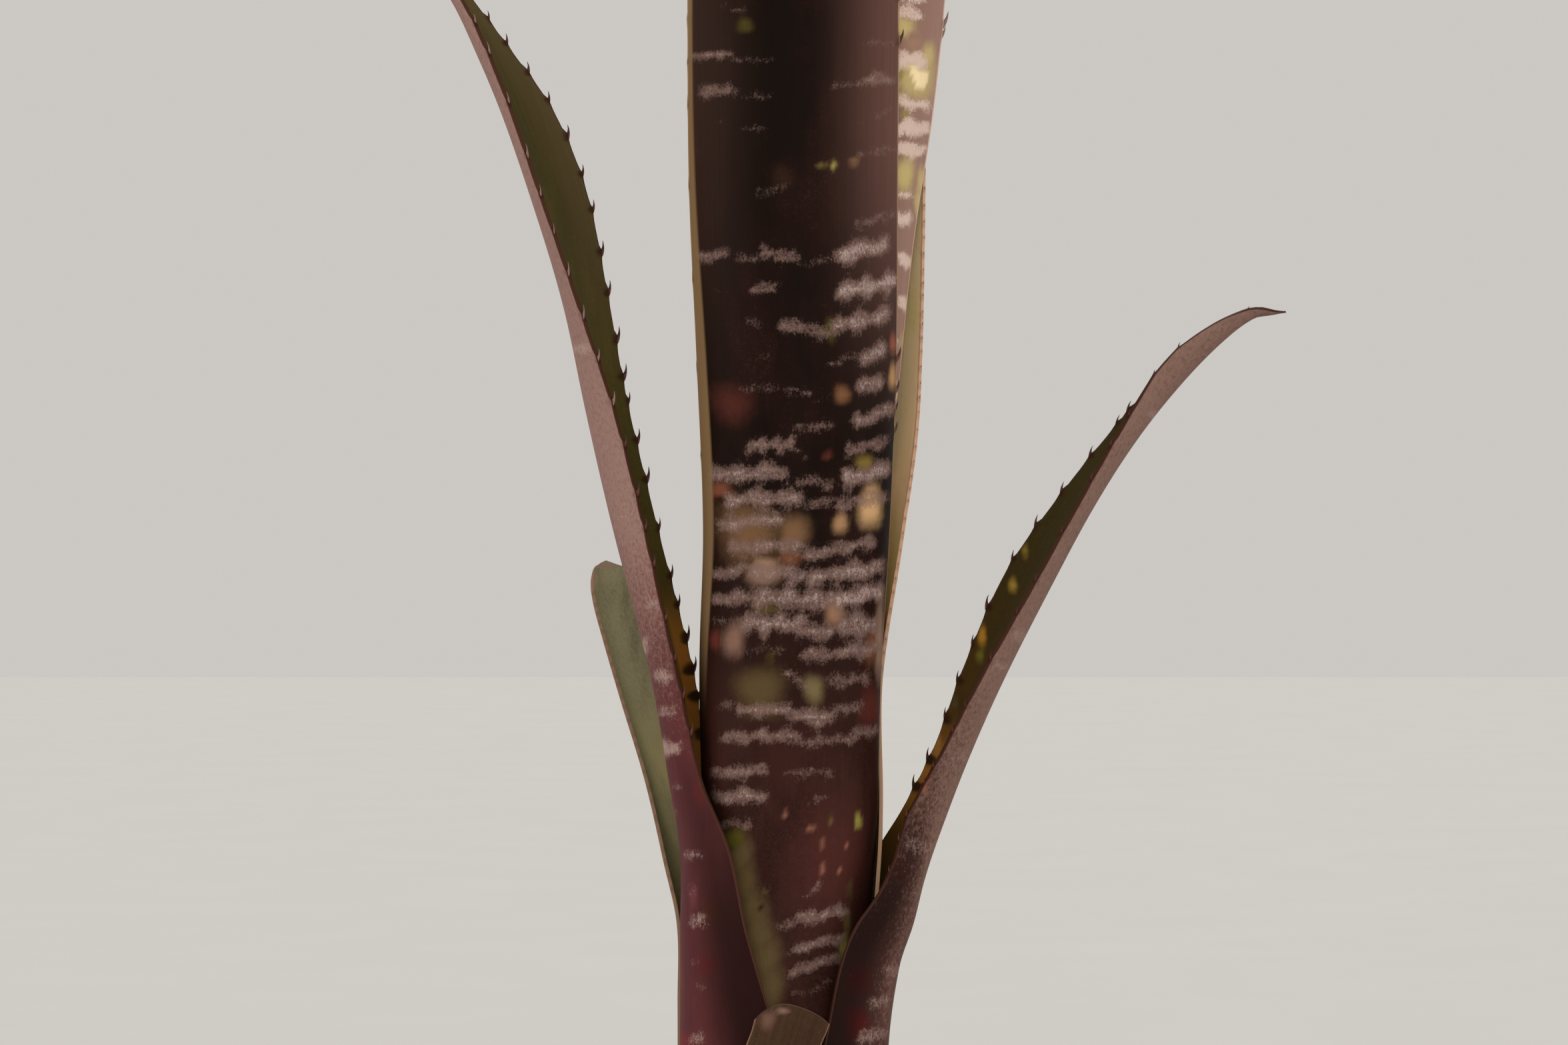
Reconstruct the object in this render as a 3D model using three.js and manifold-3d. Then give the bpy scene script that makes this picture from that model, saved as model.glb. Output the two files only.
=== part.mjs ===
// A tubular bromeliad (a billbergia) standing in a plain round nursery pot. Eight spiny strap leaves
// grow from one short stem. Their sheaths nest round each other and form a tube that holds water,
// and the blades leave the tube one by one. Millimetres, +Z up, the front is -Y, and the origin is
// the centre of the pot's flat base.
import * as THREE from "three";
import { mergeVertices } from "three/addons/utils/BufferGeometryUtils.js";
import Module from "manifold-3d";

const wasm = await Module();
wasm.setup();

// Pot: a tapered thin-walled cup with a band round its rim and drainage holes in its base.
const POT_HEIGHT = 108;
const POT_BASE_RADIUS = 45;
const POT_NECK_RADIUS = 60;
const POT_WALL = 2.2;
const POT_FLOOR = 3;
const FOOT_ROUND = 1.5;
const RIM_HEIGHT = 14;
const RIM_OVERHANG = 3;
const RIM_ROUND = 1;
const POT_SIDES = 40;
const DRAIN_COUNT = 6;
const DRAIN_RADIUS = 4;
const DRAIN_RING_RADIUS = 29;
const DRAIN_SIDES = 12;

// Potting mix: fills the pot to just below the rim, with a plain hole where the plant stands.
// Its top has low mounds, each a wave over x and y, and is level at the hole and at the wall.
const FIT_GAP = 0.4;
const SOIL_TOP = 96;
const SOIL_RINGS = 6;
const MOUND_HEIGHT = 1.3;
const MOUND_LENGTH_X = 33;
const MOUND_LENGTH_Y = 27;
const HOLE_FADE = 12;
const WALL_FADE = 7;
const CROWN_HOLE_RADIUS = 24.2;
const CROWN_HOLE_DEPTH = 5;

// Stem: short and thick, with the leaves round its upper half and the rest buried.
const STEM_RADIUS = 8.2;
const STEM_TOP = 104;
const STEM_FOOT = 56;
const STEM_TAPER = 10;
const STEM_CROWN = 4;
const STEM_SIDES = 14;

// Tube of sheaths: each layer is one pitch smaller than the one outside it.
const TUBE_RADIUS = 24.9;
const LAYER_PITCH = 2;
const SHEATH_THICKNESS = 1.1;
const MARGIN_THICKNESS = 0.8;
const ROOT_HEIGHT = SOIL_TOP - CROWN_HOLE_DEPTH + 1;
const SHEATH_HEIGHTS = [ROOT_HEIGHT, 112, 150];
const SHEATH_PINCH = [3.4, 0.7, 0];

// Leaf meshes: strips across each leaf, and the distance between rows along it.
const STRIPS = 10;
const SHEATH_STEP = 16;
const BLADE_STEP = 10.4;
const FRAME_STEP = 0.5;
const SEARCH_STEPS = 240;

// Spines: one on each margin of each blade row, hooked towards the leaf's tip, which is one too.
// They alternate a little from one margin to the other.
const TOOTH_BASE = 2.6;
const TOOTH_SWELL = 0.5;
const TOOTH_RISE = 0.9;
const TOOTH_STAGGER = 0.12;
const TIP_SPINE = 3;

const COLOUR = {
  pot: 0x2c2d2e,
  soil: 0x3a2a1e,
  stem: 0x8f8a5c,
  outer: 0x6b4a48,
  inner: 0x6e7346,
  old: 0x7d6252,
};

// Each leaf, with sizes to the nearest half millimetre. azimuth is the way it leans, in degrees, 0 to
// the front and 90 to the viewer's right. layer counts inwards from the outside of the tube. wrap is
// the arc from midrib to left margin and to right margin at each of the sheath heights. A row of blade
// is [height, reach from the tube's axis, drift sideways, left arc, right arc, radius of the channel
// across the leaf, turn about its length]. tooth is a spine's length, from the height toothFrom up.
const LEAVES = [
  {
    name: "leaf_left",
    azimuth: -97,
    layer: 1,
    wrap: [[40, 44], [44, 49], [42, 45.5]],
    blade: [
      [176, 22.5, 0, 33, 37, 24, 1],
      [195, 22.5, 0, 28, 31, 24, 1],
      [210, 22.5, 0, 24, 26, 23, 0],
      [225, 25, 0, 18, 17.5, 20, -6],
      [248, 29, 0, 16.5, 15, 17, -4],
      [283, 38, 0, 17, 16, 17, -5],
      [307, 43.5, 0, 16.5, 16, 18, -3],
      [330, 48, 0, 15.5, 15.5, 21, 5],
      [352, 54, 0, 15.5, 16, 21, 12],
      [369, 60, 0, 13.5, 14.5, 18, 13],
      [384, 67, 0, 8.5, 9.5, 10, 11],
      [394, 72, 0, 5, 6, 5.5, 11],
      [410, 82, 0, 2.5, 3, 4, 11],
      [419, 91.5, 0, 1, 1, 3, 11],
    ],
    tooth: 2.3,
    toothFrom: 226,
    colour: COLOUR.outer,
  },
  {
    name: "leaf_right",
    azimuth: 97,
    layer: 2,
    wrap: [[34, 34], [40, 40], [35, 37]],
    blade: [
      [170, 21, 0, 28.5, 27, 21.5, 0],
      [187, 23.5, 0, 26.5, 24.5, 22, 2],
      [196, 26.5, 0, 24.5, 22, 21.5, 2],
      [206, 29, 0, 20, 19, 19, 0],
      [217, 33, 0, 18, 16.5, 17, 4],
      [231, 38.5, 0, 16, 15.5, 19, 5],
      [248, 46, 0, 16, 16, 20, 1],
      [268, 56, 0, 15.5, 16, 20, -3],
      [285, 65.5, 0, 13, 13, 17, -1],
      [300, 75.5, 0, 10.5, 10.5, 12, 5],
      [313, 86, 0, 8.5, 9, 7, 15],
      [322, 95, 0, 5.5, 6, 4.5, 17],
      [327, 102, 0, 2.5, 3, 3, 17],
      [327.5, 106.5, 0, 1, 1, 2.5, 17],
    ],
    tooth: 2.1,
    toothFrom: 205,
    colour: COLOUR.outer,
  },
  {
    name: "leaf_front",
    azimuth: 0,
    layer: 4,
    wrap: [[28, 28], [33, 33], [36, 36]],
    blade: [
      [200, 17, 0, 31.5, 29.5, 17.5, 0],
      [222, 18, 0.5, 29, 26.5, 18.5, 0],
      [251, 18.5, 0.5, 26.5, 26.5, 19.5, 0],
      [280, 19, 1.5, 25, 27, 20.5, 0],
      [316, 20.5, 1.5, 25.5, 27, 23, 0],
      [354, 21.5, 1, 26, 26.5, 25.5, 0],
      [394, 23.5, 1, 25.5, 25.5, 27.5, 0],
      [420, 28, 0.5, 24, 23.5, 29, -1],
      [443, 37.5, 0.5, 19, 18.5, 27, -4],
      [458, 49.5, 0.5, 12, 12, 20, -6],
      [463.5, 59.5, 0, 5.5, 5.5, 10, -8],
      [462.5, 65, 0, 1, 1, 4, -8],
    ],
    tooth: 2.2,
    toothFrom: 236,
    colour: COLOUR.outer,
  },
  {
    name: "leaf_inner_right",
    azimuth: 52,
    layer: 5,
    wrap: [[22, 22], [28, 28], [31, 31]],
    blade: [
      [222, 15, 0, 28.5, 27, 15, 0],
      [250, 15.5, 0, 26, 24.5, 16, 1],
      [275, 16, 0, 24, 21, 18.5, 7],
      [305, 17, 0, 21.5, 19, 23, 16],
      [341, 18.5, 0, 18.5, 21, 26, 21],
      [370, 20, 0, 15.5, 24, 28, 27],
      [394, 21.5, 0, 16, 25.5, 29, 29],
      [420, 25, 0, 17, 23, 29, 28],
      [446, 31.5, 0, 15.5, 17.5, 26, 25],
      [464, 40.5, 0, 9.5, 10, 18, 22],
      [474, 49.5, 0, 4, 4, 9, 20],
      [476.5, 54.5, 0, 1, 1, 4, 20],
    ],
    tooth: 2.2,
    toothFrom: 250,
    colour: COLOUR.outer,
  },
  {
    name: "leaf_back",
    azimuth: 150,
    layer: 3,
    wrap: [[25, 30], [30, 36], [30, 37]],
    blade: [
      [200, 19.5, 0, 26, 34, 19.5, 0],
      [222, 20, 0, 21, 31, 20.5, 1],
      [250, 20.5, 0, 21.5, 27, 21.5, 3],
      [280, 20.5, 0, 22, 24, 30, -3],
      [308, 21, 0, 21.5, 22.5, 40, -12],
      [351, 22, 0, 21.5, 22, 43, -14],
      [394, 26, 0, 21, 21.5, 35.5, -8],
      [424, 33, 0, 19, 19, 29.5, 1],
      [444, 43, 0, 15, 15, 25, 4],
      [456, 55, 0, 9, 9, 16, 6],
      [458, 65, 0, 3.5, 3.5, 8, 6],
      [457, 69, 0, 1, 1, 4, 6],
    ],
    tooth: 1.1,
    toothFrom: 250,
    colour: COLOUR.inner,
  },
  {
    name: "leaf_centre",
    azimuth: -72,
    layer: 6,
    wrap: [[18, 18], [24, 24], [26, 25]],
    blade: [
      [222, 13, 0, 25, 23, 13, 0],
      [300, 12.5, 0, 23, 17, 13, 0],
      [350, 13, 0, 21, 14, 14, 0],
      [394, 14, 0, 17.5, 12.5, 16, 0],
      [424, 16.5, 0, 13.5, 12, 16, 0],
      [446, 21.5, 0, 8, 8, 11, 0],
      [457, 26.5, 0, 3.5, 3.5, 6, 0],
      [461.5, 29.5, 0, 1, 1, 3, 0],
    ],
    tooth: 1.6,
    toothFrom: 300,
    colour: COLOUR.inner,
  },
  {
    name: "leaf_short_back_left",
    azimuth: -135,
    layer: 0,
    wrap: [[24, 9.5], [28, 11], [28, 11]],
    blade: [
      [178, 25, 0, 23, 11, 25, 0],
      [195, 25.5, 0, 17.5, 11, 23, 0],
      [208, 30.5, 0, 14, 11.5, 18, 0],
      [224, 37, 0, 12.5, 11.5, 15, 0],
      [242, 45.5, 0, 12, 11.5, 14, 0],
      [257, 52, 0, 11, 11, 14, 0],
      [266, 55.5, 0, 8.5, 8.5, 14, 0],
      [271, 57, 0, 5.5, 5.5, 12, 0],
      [273, 57.5, 0, 2.5, 2.5, 9, 0],
    ],
    tooth: 0.9,
    toothFrom: 200,
    blunt: true,
    colour: COLOUR.inner,
  },
  {
    name: "leaf_short_front",
    azimuth: -4,
    layer: 0,
    wrap: [[17, 17], [17, 17], [13, 13]],
    blade: [
      [162, 28.5, -1, 9.5, 9.5, 23, 0],
      [174, 31, 1.5, 7.5, 7.5, 18, 0],
      [183, 33, 4.5, 7, 7, 16, 0],
    ],
    tooth: 0,
    toothFrom: Infinity,
    blunt: true,
    colour: COLOUR.old,
  },
];

// Smooth curve through the given values, one for each knot.
function throughValues(knots, values) {
  const last = knots.length - 1;
  const slope = values.map((_, i) => {
    const before = Math.max(0, i - 1);
    const after = Math.min(last, i + 1);
    return (values[after] - values[before]) / (knots[after] - knots[before]);
  });
  return (at) => {
    let i = 0;
    while (i < last - 1 && at > knots[i + 1]) i += 1;
    const span = knots[i + 1] - knots[i];
    const t = THREE.MathUtils.clamp((at - knots[i]) / span, 0, 1);
    const ease = t * t * (3 - 2 * t);
    const leaving = t * (1 - t) * (1 - t) * span * slope[i];
    const arriving = t * t * (1 - t) * span * slope[i + 1];
    return values[i] * (1 - ease) + values[i + 1] * ease + leaving - arriving;
  };
}

// All rows of a leaf, from its root in the crown to its tip.
function leafRows(leaf) {
  const radius = TUBE_RADIUS - leaf.layer * LAYER_PITCH;
  const sheath = SHEATH_HEIGHTS.map((height, i) => {
    const [left, right] = leaf.wrap[i];
    const here = radius - SHEATH_PINCH[i];
    return [height, here, 0, left, right, here, 0];
  });
  return [...sheath, ...leaf.blade];
}

// The leaf as a curved surface: length along the midrib, and a point for each place on it.
function leafSurface(leaf) {
  const rows = leafRows(leaf);
  const knots = [0];
  for (let i = 1; i < rows.length; i += 1) {
    const [a, b] = [rows[i - 1], rows[i]];
    knots.push(knots[i - 1] + Math.hypot(b[0] - a[0], b[1] - a[1], b[2] - a[2]));
  }
  const [height, reach, drift, left, right, curl, turn] = rows[0].map((_, column) =>
    throughValues(knots, rows.map((row) => row[column])),
  );
  const azimuth = THREE.MathUtils.degToRad(leaf.azimuth);
  const outward = new THREE.Vector3(Math.sin(azimuth), -Math.cos(azimuth), 0);
  const sideways = new THREE.Vector3(Math.cos(azimuth), Math.sin(azimuth), 0);
  const total = knots[knots.length - 1];

  const midrib = (at) =>
    new THREE.Vector3(0, 0, height(at))
      .addScaledVector(outward, reach(at))
      .addScaledVector(sideways, drift(at));

  // Frame at a distance from the root: along the leaf, towards the tube's axis, and across.
  const frame = (at) => {
    const before = Math.max(0, at - FRAME_STEP);
    const after = Math.min(total, at + FRAME_STEP);
    const along = midrib(after).sub(midrib(before)).normalize();
    const facing = new THREE.Vector3().crossVectors(along, sideways).normalize();
    const across = new THREE.Vector3().crossVectors(facing, along);
    return { origin: midrib(at), along, facing, across, turn: THREE.MathUtils.degToRad(turn(at)) };
  };

  // side runs from -1 at the left margin to 1 at the right one. depth is -1 on the outer face and 1
  // on the inner one. swell moves a margin outwards.
  const point = (at, side, depth, swell = 0) => {
    const { origin, facing, across, turn: angle } = frame(at);
    const inward = facing.clone().multiplyScalar(Math.cos(angle)).addScaledVector(across, Math.sin(angle));
    const over = across.clone().multiplyScalar(Math.cos(angle)).addScaledVector(facing, -Math.sin(angle));
    const bend = curl(at);
    const arc = side * (side < 0 ? left(at) : right(at)) + Math.sign(side) * swell;
    const swing = arc / bend;
    const thickness = THREE.MathUtils.lerp(SHEATH_THICKNESS, MARGIN_THICKNESS, side * side);
    const radius = bend - (depth * thickness) / 2;
    return origin
      .addScaledVector(inward, bend - radius * Math.cos(swing))
      .addScaledVector(over, radius * Math.sin(swing));
  };
  return { total, frame, point, height };
}

// Distances from the root at which a leaf has a row: wide apart on the sheath, closer on the blade.
function rowDistances(surface, leaf) {
  const bladeFoot = Math.min(leaf.toothFrom, leaf.blade[0][0]);
  let step = 0;
  while (surface.height((surface.total * step) / SEARCH_STEPS) < bladeFoot) step += 1;
  const bladeStart = (surface.total * step) / SEARCH_STEPS;
  const spread = (from, to, gap) => {
    const count = Math.max(1, Math.round((to - from) / gap));
    return Array.from({ length: count }, (_, i) => from + ((to - from) * i) / count);
  };
  return [
    ...spread(0, bladeStart, SHEATH_STEP),
    ...spread(bladeStart, surface.total, BLADE_STEP),
    surface.total,
  ];
}

// One leaf as a closed thin shell with a spine on each margin of every blade row.
function leafGeometry(leaf) {
  const surface = leafSurface(leaf);
  const rows = rowDistances(surface, leaf);
  const positions = [];
  const triangles = [];
  const addPoint = (p) => positions.push(p.x, p.y, p.z) / 3 - 1;
  const face = (a, b, c) => triangles.push(a, b, c);

  // grid[depth][row][column]: vertex numbers of the outer face and the inner face.
  const grid = [-1, 1].map((depth) =>
    rows.map((at) =>
      Array.from({ length: STRIPS + 1 }, (_, j) =>
        addPoint(surface.point(at, (2 * j) / STRIPS - 1, depth)),
      ),
    ),
  );
  const [outer, inner] = grid;

  const bothFaces = (a, b, c) => {
    face(outer[a[0]][a[1]], outer[b[0]][b[1]], outer[c[0]][c[1]]);
    face(inner[a[0]][a[1]], inner[c[0]][c[1]], inner[b[0]][b[1]]);
  };
  for (let i = 0; i < rows.length - 1; i += 1) {
    for (let j = 1; j < STRIPS - 1; j += 1) {
      bothFaces([i, j], [i, j + 1], [i + 1, j + 1]);
      bothFaces([i, j], [i + 1, j + 1], [i + 1, j]);
    }
    marginCell(i, -1);
    marginCell(i, 1);
  }

  // The outermost strip of one row, with the margin's edge and its spine.
  function marginCell(i, side) {
    const edge = side < 0 ? 0 : STRIPS;
    const next = side < 0 ? 1 : STRIPS - 1;
    const wound = (a, b, c) => (side < 0 ? face(a, c, b) : face(a, b, c));
    const stops = [{ out: outer[i][edge], in: inner[i][edge] }];
    const spined = leaf.tooth > 0 && surface.height(rows[i]) >= leaf.toothFrom && i < rows.length - 2;
    if (spined) {
      const middle = THREE.MathUtils.lerp(rows[i], rows[i + 1], 0.5 - side * TOOTH_STAGGER);
      for (const at of [middle - TOOTH_BASE / 2, middle + TOOTH_BASE / 2]) {
        stops.push({
          out: addPoint(surface.point(at, side, -1, TOOTH_SWELL)),
          in: addPoint(surface.point(at, side, 1, TOOTH_SWELL)),
        });
      }
      stops[1].spine = spineTip(middle, side);
    }
    stops.push({ out: outer[i + 1][edge], in: inner[i + 1][edge] });
    for (let k = 0; k < stops.length - 1; k += 1) {
      const [a, b] = [stops[k], stops[k + 1]];
      wound(outer[i][next], a.out, b.out);
      wound(inner[i][next], b.in, a.in);
      if (a.spine === undefined) {
        wound(a.out, a.in, b.in);
        wound(a.out, b.in, b.out);
      } else {
        wound(a.out, a.in, a.spine);
        wound(a.in, b.in, a.spine);
        wound(b.in, b.out, a.spine);
        wound(b.out, a.out, a.spine);
      }
    }
    wound(outer[i][next], outer[i + 1][edge], outer[i + 1][next]);
    wound(inner[i][next], inner[i + 1][next], inner[i + 1][edge]);
  }

  function spineTip(at, side) {
    const out = surface.point(at, side, 0, leaf.tooth);
    return addPoint(out.addScaledVector(surface.frame(at).along, leaf.tooth * TOOTH_RISE));
  }

  // The root is cut flat across. The far end is cut flat too, or drawn out into a fine point.
  const end = rows.length - 1;
  for (let j = 0; j < STRIPS; j += 1) {
    face(outer[0][j], inner[0][j], inner[0][j + 1]);
    face(outer[0][j], inner[0][j + 1], outer[0][j + 1]);
  }
  if (leaf.blunt) {
    for (let j = 0; j < STRIPS; j += 1) {
      face(outer[end][j], inner[end][j + 1], inner[end][j]);
      face(outer[end][j], outer[end][j + 1], inner[end][j + 1]);
    }
  } else {
    const { along } = surface.frame(surface.total);
    const tip = addPoint(surface.point(surface.total, 0, 0).addScaledVector(along, TIP_SPINE));
    for (let j = 0; j < STRIPS; j += 1) {
      face(outer[end][j], outer[end][j + 1], tip);
      face(inner[end][j + 1], inner[end][j], tip);
    }
    face(inner[end][0], outer[end][0], tip);
    face(outer[end][STRIPS], inner[end][STRIPS], tip);
  }

  const geometry = new THREE.BufferGeometry();
  geometry.setAttribute("position", new THREE.Float32BufferAttribute(positions, 3));
  geometry.setIndex(triangles);
  return geometry;
}

// A solid of revolution about Z from [radius, height] points, bottom axis point first.
function latheSolid(profile, sides) {
  const points = profile.map(([radius, height]) => new THREE.Vector2(radius, height));
  return new THREE.LatheGeometry(points, sides).rotateX(Math.PI / 2);
}

function toManifold(geometry) {
  const bare = geometry.clone();
  bare.deleteAttribute("normal");
  bare.deleteAttribute("uv");
  const merged = mergeVertices(bare, 1e-4);
  return new wasm.Manifold(
    new wasm.Mesh({
      numProp: 3,
      vertProperties: merged.attributes.position.array,
      triVerts: new Uint32Array(merged.index.array),
    }),
  );
}

function fromManifold(solid) {
  const mesh = solid.getMesh();
  const geometry = new THREE.BufferGeometry();
  geometry.setAttribute("position", new THREE.Float32BufferAttribute(mesh.vertProperties, 3));
  geometry.setIndex(new THREE.Uint32BufferAttribute(mesh.triVerts, 1));
  return geometry;
}

// Radius of the pot's outer wall, and of its inner wall, at a height.
function potOutside(height) {
  return THREE.MathUtils.lerp(POT_BASE_RADIUS, POT_NECK_RADIUS, height / POT_HEIGHT);
}

function potInside(height) {
  return potOutside(height) - POT_WALL;
}

function potGeometry() {
  const bandFoot = POT_HEIGHT - RIM_HEIGHT;
  const cup = latheSolid(
    [
      [0, 0],
      [POT_BASE_RADIUS - FOOT_ROUND, 0],
      [potOutside(FOOT_ROUND), FOOT_ROUND],
      [potOutside(bandFoot), bandFoot],
      [potOutside(bandFoot) + RIM_OVERHANG - RIM_ROUND / 2, bandFoot],
      [potOutside(bandFoot) + RIM_OVERHANG, bandFoot + RIM_ROUND],
      [potOutside(POT_HEIGHT) + RIM_OVERHANG, POT_HEIGHT - RIM_ROUND],
      [potOutside(POT_HEIGHT) + RIM_OVERHANG - RIM_ROUND, POT_HEIGHT],
      [potInside(POT_HEIGHT), POT_HEIGHT],
      [potInside(POT_FLOOR), POT_FLOOR],
      [0, POT_FLOOR],
    ],
    POT_SIDES,
  );
  let pot = toManifold(cup);
  for (let i = 0; i < DRAIN_COUNT; i += 1) {
    const angle = (2 * Math.PI * (i + 0.5)) / DRAIN_COUNT;
    const drain = new THREE.CylinderGeometry(DRAIN_RADIUS, DRAIN_RADIUS, 3 * POT_FLOOR, DRAIN_SIDES)
      .rotateX(Math.PI / 2)
      .translate(DRAIN_RING_RADIUS * Math.cos(angle), DRAIN_RING_RADIUS * Math.sin(angle), 0);
    pot = pot.subtract(toManifold(drain));
  }
  return fromManifold(pot);
}

function soilEdge() {
  return potInside(SOIL_TOP) - FIT_GAP;
}

function soilHeight(x, y) {
  const radius = Math.hypot(x, y);
  const fade =
    THREE.MathUtils.smoothstep(radius, CROWN_HOLE_RADIUS, CROWN_HOLE_RADIUS + HOLE_FADE) *
    (1 - THREE.MathUtils.smoothstep(radius, soilEdge() - WALL_FADE, soilEdge()));
  const [waveX, waveY] = [(2 * Math.PI * x) / MOUND_LENGTH_X, (2 * Math.PI * y) / MOUND_LENGTH_Y];
  const mounds = Math.sin(waveX + 1) * Math.cos(waveY) + Math.sin(2 * waveX - waveY) / 2;
  return SOIL_TOP + MOUND_HEIGHT * fade * mounds;
}

function soilGeometry() {
  const foot = POT_FLOOR + FIT_GAP;
  const crownFloor = SOIL_TOP - CROWN_HOLE_DEPTH;
  const stemHole = STEM_RADIUS + FIT_GAP;
  const top = Array.from({ length: SOIL_RINGS + 1 }, (_, i) => [
    THREE.MathUtils.lerp(soilEdge(), CROWN_HOLE_RADIUS, i / SOIL_RINGS),
    SOIL_TOP,
  ]);
  const geometry = latheSolid(
    [
      [0, foot],
      [potInside(foot) - FIT_GAP, foot],
      ...top,
      [CROWN_HOLE_RADIUS, crownFloor],
      [stemHole, crownFloor],
      [stemHole, STEM_FOOT - FIT_GAP],
      [0, STEM_FOOT - FIT_GAP],
    ],
    POT_SIDES,
  );
  const position = geometry.attributes.position;
  for (let i = 0; i < position.count; i += 1) {
    const onTop = Math.abs(position.getZ(i) - SOIL_TOP) < FIT_GAP;
    if (onTop) position.setZ(i, soilHeight(position.getX(i), position.getY(i)));
  }
  return geometry;
}

function stemGeometry() {
  return latheSolid(
    [
      [0, STEM_FOOT],
      [STEM_RADIUS / 2, STEM_FOOT],
      [STEM_RADIUS, STEM_FOOT + STEM_TAPER],
      [STEM_RADIUS, STEM_TOP - STEM_CROWN],
      [STEM_RADIUS * 0.7, STEM_TOP - STEM_CROWN / 4],
      [0, STEM_TOP],
    ],
    STEM_SIDES,
  );
}

function piece(name, geometry, colour, roughness) {
  const material = new THREE.MeshStandardMaterial({ color: colour, roughness, metalness: 0 });
  const mesh = new THREE.Mesh(geometry, material);
  mesh.name = name;
  return mesh;
}

const plant = new THREE.Group();
plant.add(piece("pot", potGeometry(), COLOUR.pot, 0.55));
plant.add(piece("potting_mix", soilGeometry(), COLOUR.soil, 0.95));
plant.add(piece("stem", stemGeometry(), COLOUR.stem, 0.7));
for (const leaf of LEAVES) {
  plant.add(piece(leaf.name, leafGeometry(leaf), leaf.colour, 0.6));
}

export default plant;
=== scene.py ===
"""A potted billbergia: finer leaves, spines, stem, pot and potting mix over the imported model."""

import math
import random

import bpy
import numpy as np
from mathutils import Matrix, Vector, noise


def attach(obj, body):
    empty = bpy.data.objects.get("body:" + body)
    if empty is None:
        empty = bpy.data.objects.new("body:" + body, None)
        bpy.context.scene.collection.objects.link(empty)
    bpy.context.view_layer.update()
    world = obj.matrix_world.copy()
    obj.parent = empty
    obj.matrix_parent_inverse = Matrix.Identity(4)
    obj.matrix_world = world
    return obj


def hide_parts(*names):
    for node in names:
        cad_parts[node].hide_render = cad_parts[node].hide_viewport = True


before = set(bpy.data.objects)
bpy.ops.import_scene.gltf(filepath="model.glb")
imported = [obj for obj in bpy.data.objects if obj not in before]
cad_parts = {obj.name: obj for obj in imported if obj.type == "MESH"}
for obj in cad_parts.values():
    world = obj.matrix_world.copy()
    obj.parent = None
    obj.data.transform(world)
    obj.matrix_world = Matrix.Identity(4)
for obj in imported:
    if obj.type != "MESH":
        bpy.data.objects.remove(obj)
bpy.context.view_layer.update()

# Lengths are in millimetres, and MM makes them metres.
MM = 0.001

# The photograph's camera: its place, lens and sensor, and its scale in photo pixels.
CAMERA_PLACE = (-0.86, -933.0, 282.0)
LENS = 100
SENSOR = 36
LENS_PIXELS = 6533.3
PHOTO_CENTRE = (1176.0, 784.0)
PHOTO_SCALE = 7.0

# Leaf shells, with the same values as the part's own.
TUBE_RADIUS = 24.9
LAYER_PITCH = 2.0
SHEATH_THICKNESS = 1.1
MARGIN_THICKNESS = 0.8
SHEATH_HEIGHTS = (92.0, 112.0, 150.0)
SHEATH_PINCH = (3.4, 0.7, 0.0)
FRAME_STEP = 0.5

# Leaf ends: a pointed one is a slender spine, and a blunt one is cut round and gets thinner.
TIP_SPINE = 2.5
TIP_HALF_WIDTH = 0.12
BLUNT_REACH = 0.5
BLUNT_NARROWING = 0.3
BLUNT_POWER = 2.4
END_FADE = 5.0
END_THINNING = 0.35

# Fineness of the leaf meshes, whose rows crowd together towards a blunt end by a power, and of
# the search for a place on a leaf, which stops short of its tip.
ROW_STEP = 1.3
COLUMN_STEP = 1.3
FEWEST_COLUMNS = 12
ROW_CROWDING = 1.7
RIM_ROUNDING = 0.2
SEARCH_STEPS = 1500
SEARCH_END = 8

# Margin spines. Shares are what a spine's gap or length keeps at the tip, and what it gains
# over the fade's length away from it.
LONG_SPINE = 1.0
LONG_SPINE_GAP = (6.2, 8.8)
SHORT_SPINE_GAP = (2.6, 4.0)
FIRST_SPINE_SHIFT = 4
BARE_TIP = 6
TIP_FADE = 55
GAP_SHARES = (0.7, 0.3)
LENGTH_SHARES = (0.45, 0.55)
LENGTH_SPREAD = (0.8, 1.1)
SPINE_LEAN = 0.12

# The spine that is copied, and how the margin rises to its foot and falls beyond it.
PATTERN_FOOT = (-0.55, -0.75, 0)
PATTERN_LENGTH = 2.2
PATTERN_TOP = 2.6
SWELL_REACH = 3.0
SWELL_RISE = 4.5
SWELL_FALL = 1.3
SWELL_HEIGHT = 0.3
RISE_CURVE = 2.2
FALL_CURVE = 1.5

# Dark feet of the spines, which are wide low down. Width and growth go with the spine's length.
WIDE_FEET_BELOW = 250
WIDE_FEET = 2.0
FOOT_SHIFT = 0.6
FOOT_LENGTH = 0.5
FOOT_GROWTH = 0.2
FOOT_WIDTH = 0.6

# Scurf strokes in photo pixels, and bands in millimetres. A wander is a size and a length.
WAVES = 3
WAVE_LENGTHS = (0.6, 1.7)
STROKE_WANDER = (2.6, 46)
STROKE_SWELL = (0.28, 34)
STROKE_OVERRUN = 0.2
STROKE_END = 14
END_SHARE = 0.7
STROKE_EDGE = 2.4
BAND_WANDER = (1.2, 26)
BAND_RIPPLE = (0.5, 7)
BAND_GAPS = (0.75, 10)
BAND_SWELL = (0.35, 9)
BAND_HALF_HEIGHT = 1.6
BAND_EDGE = 2.2
BAND_SPACING = (0.75, 1.25)

# Blotches: how soft and uneven their edges are, and over how much depth they end.
BLOTCH_EDGE = 2.2
BLOTCH_FALL = 0.9
BLOTCH_LOBES = (0.08, 0.07)
BLOTCH_DEPTH = 30
DEPTH_FADE = 6
DEPTH_PENALTY = 0.2

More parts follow.
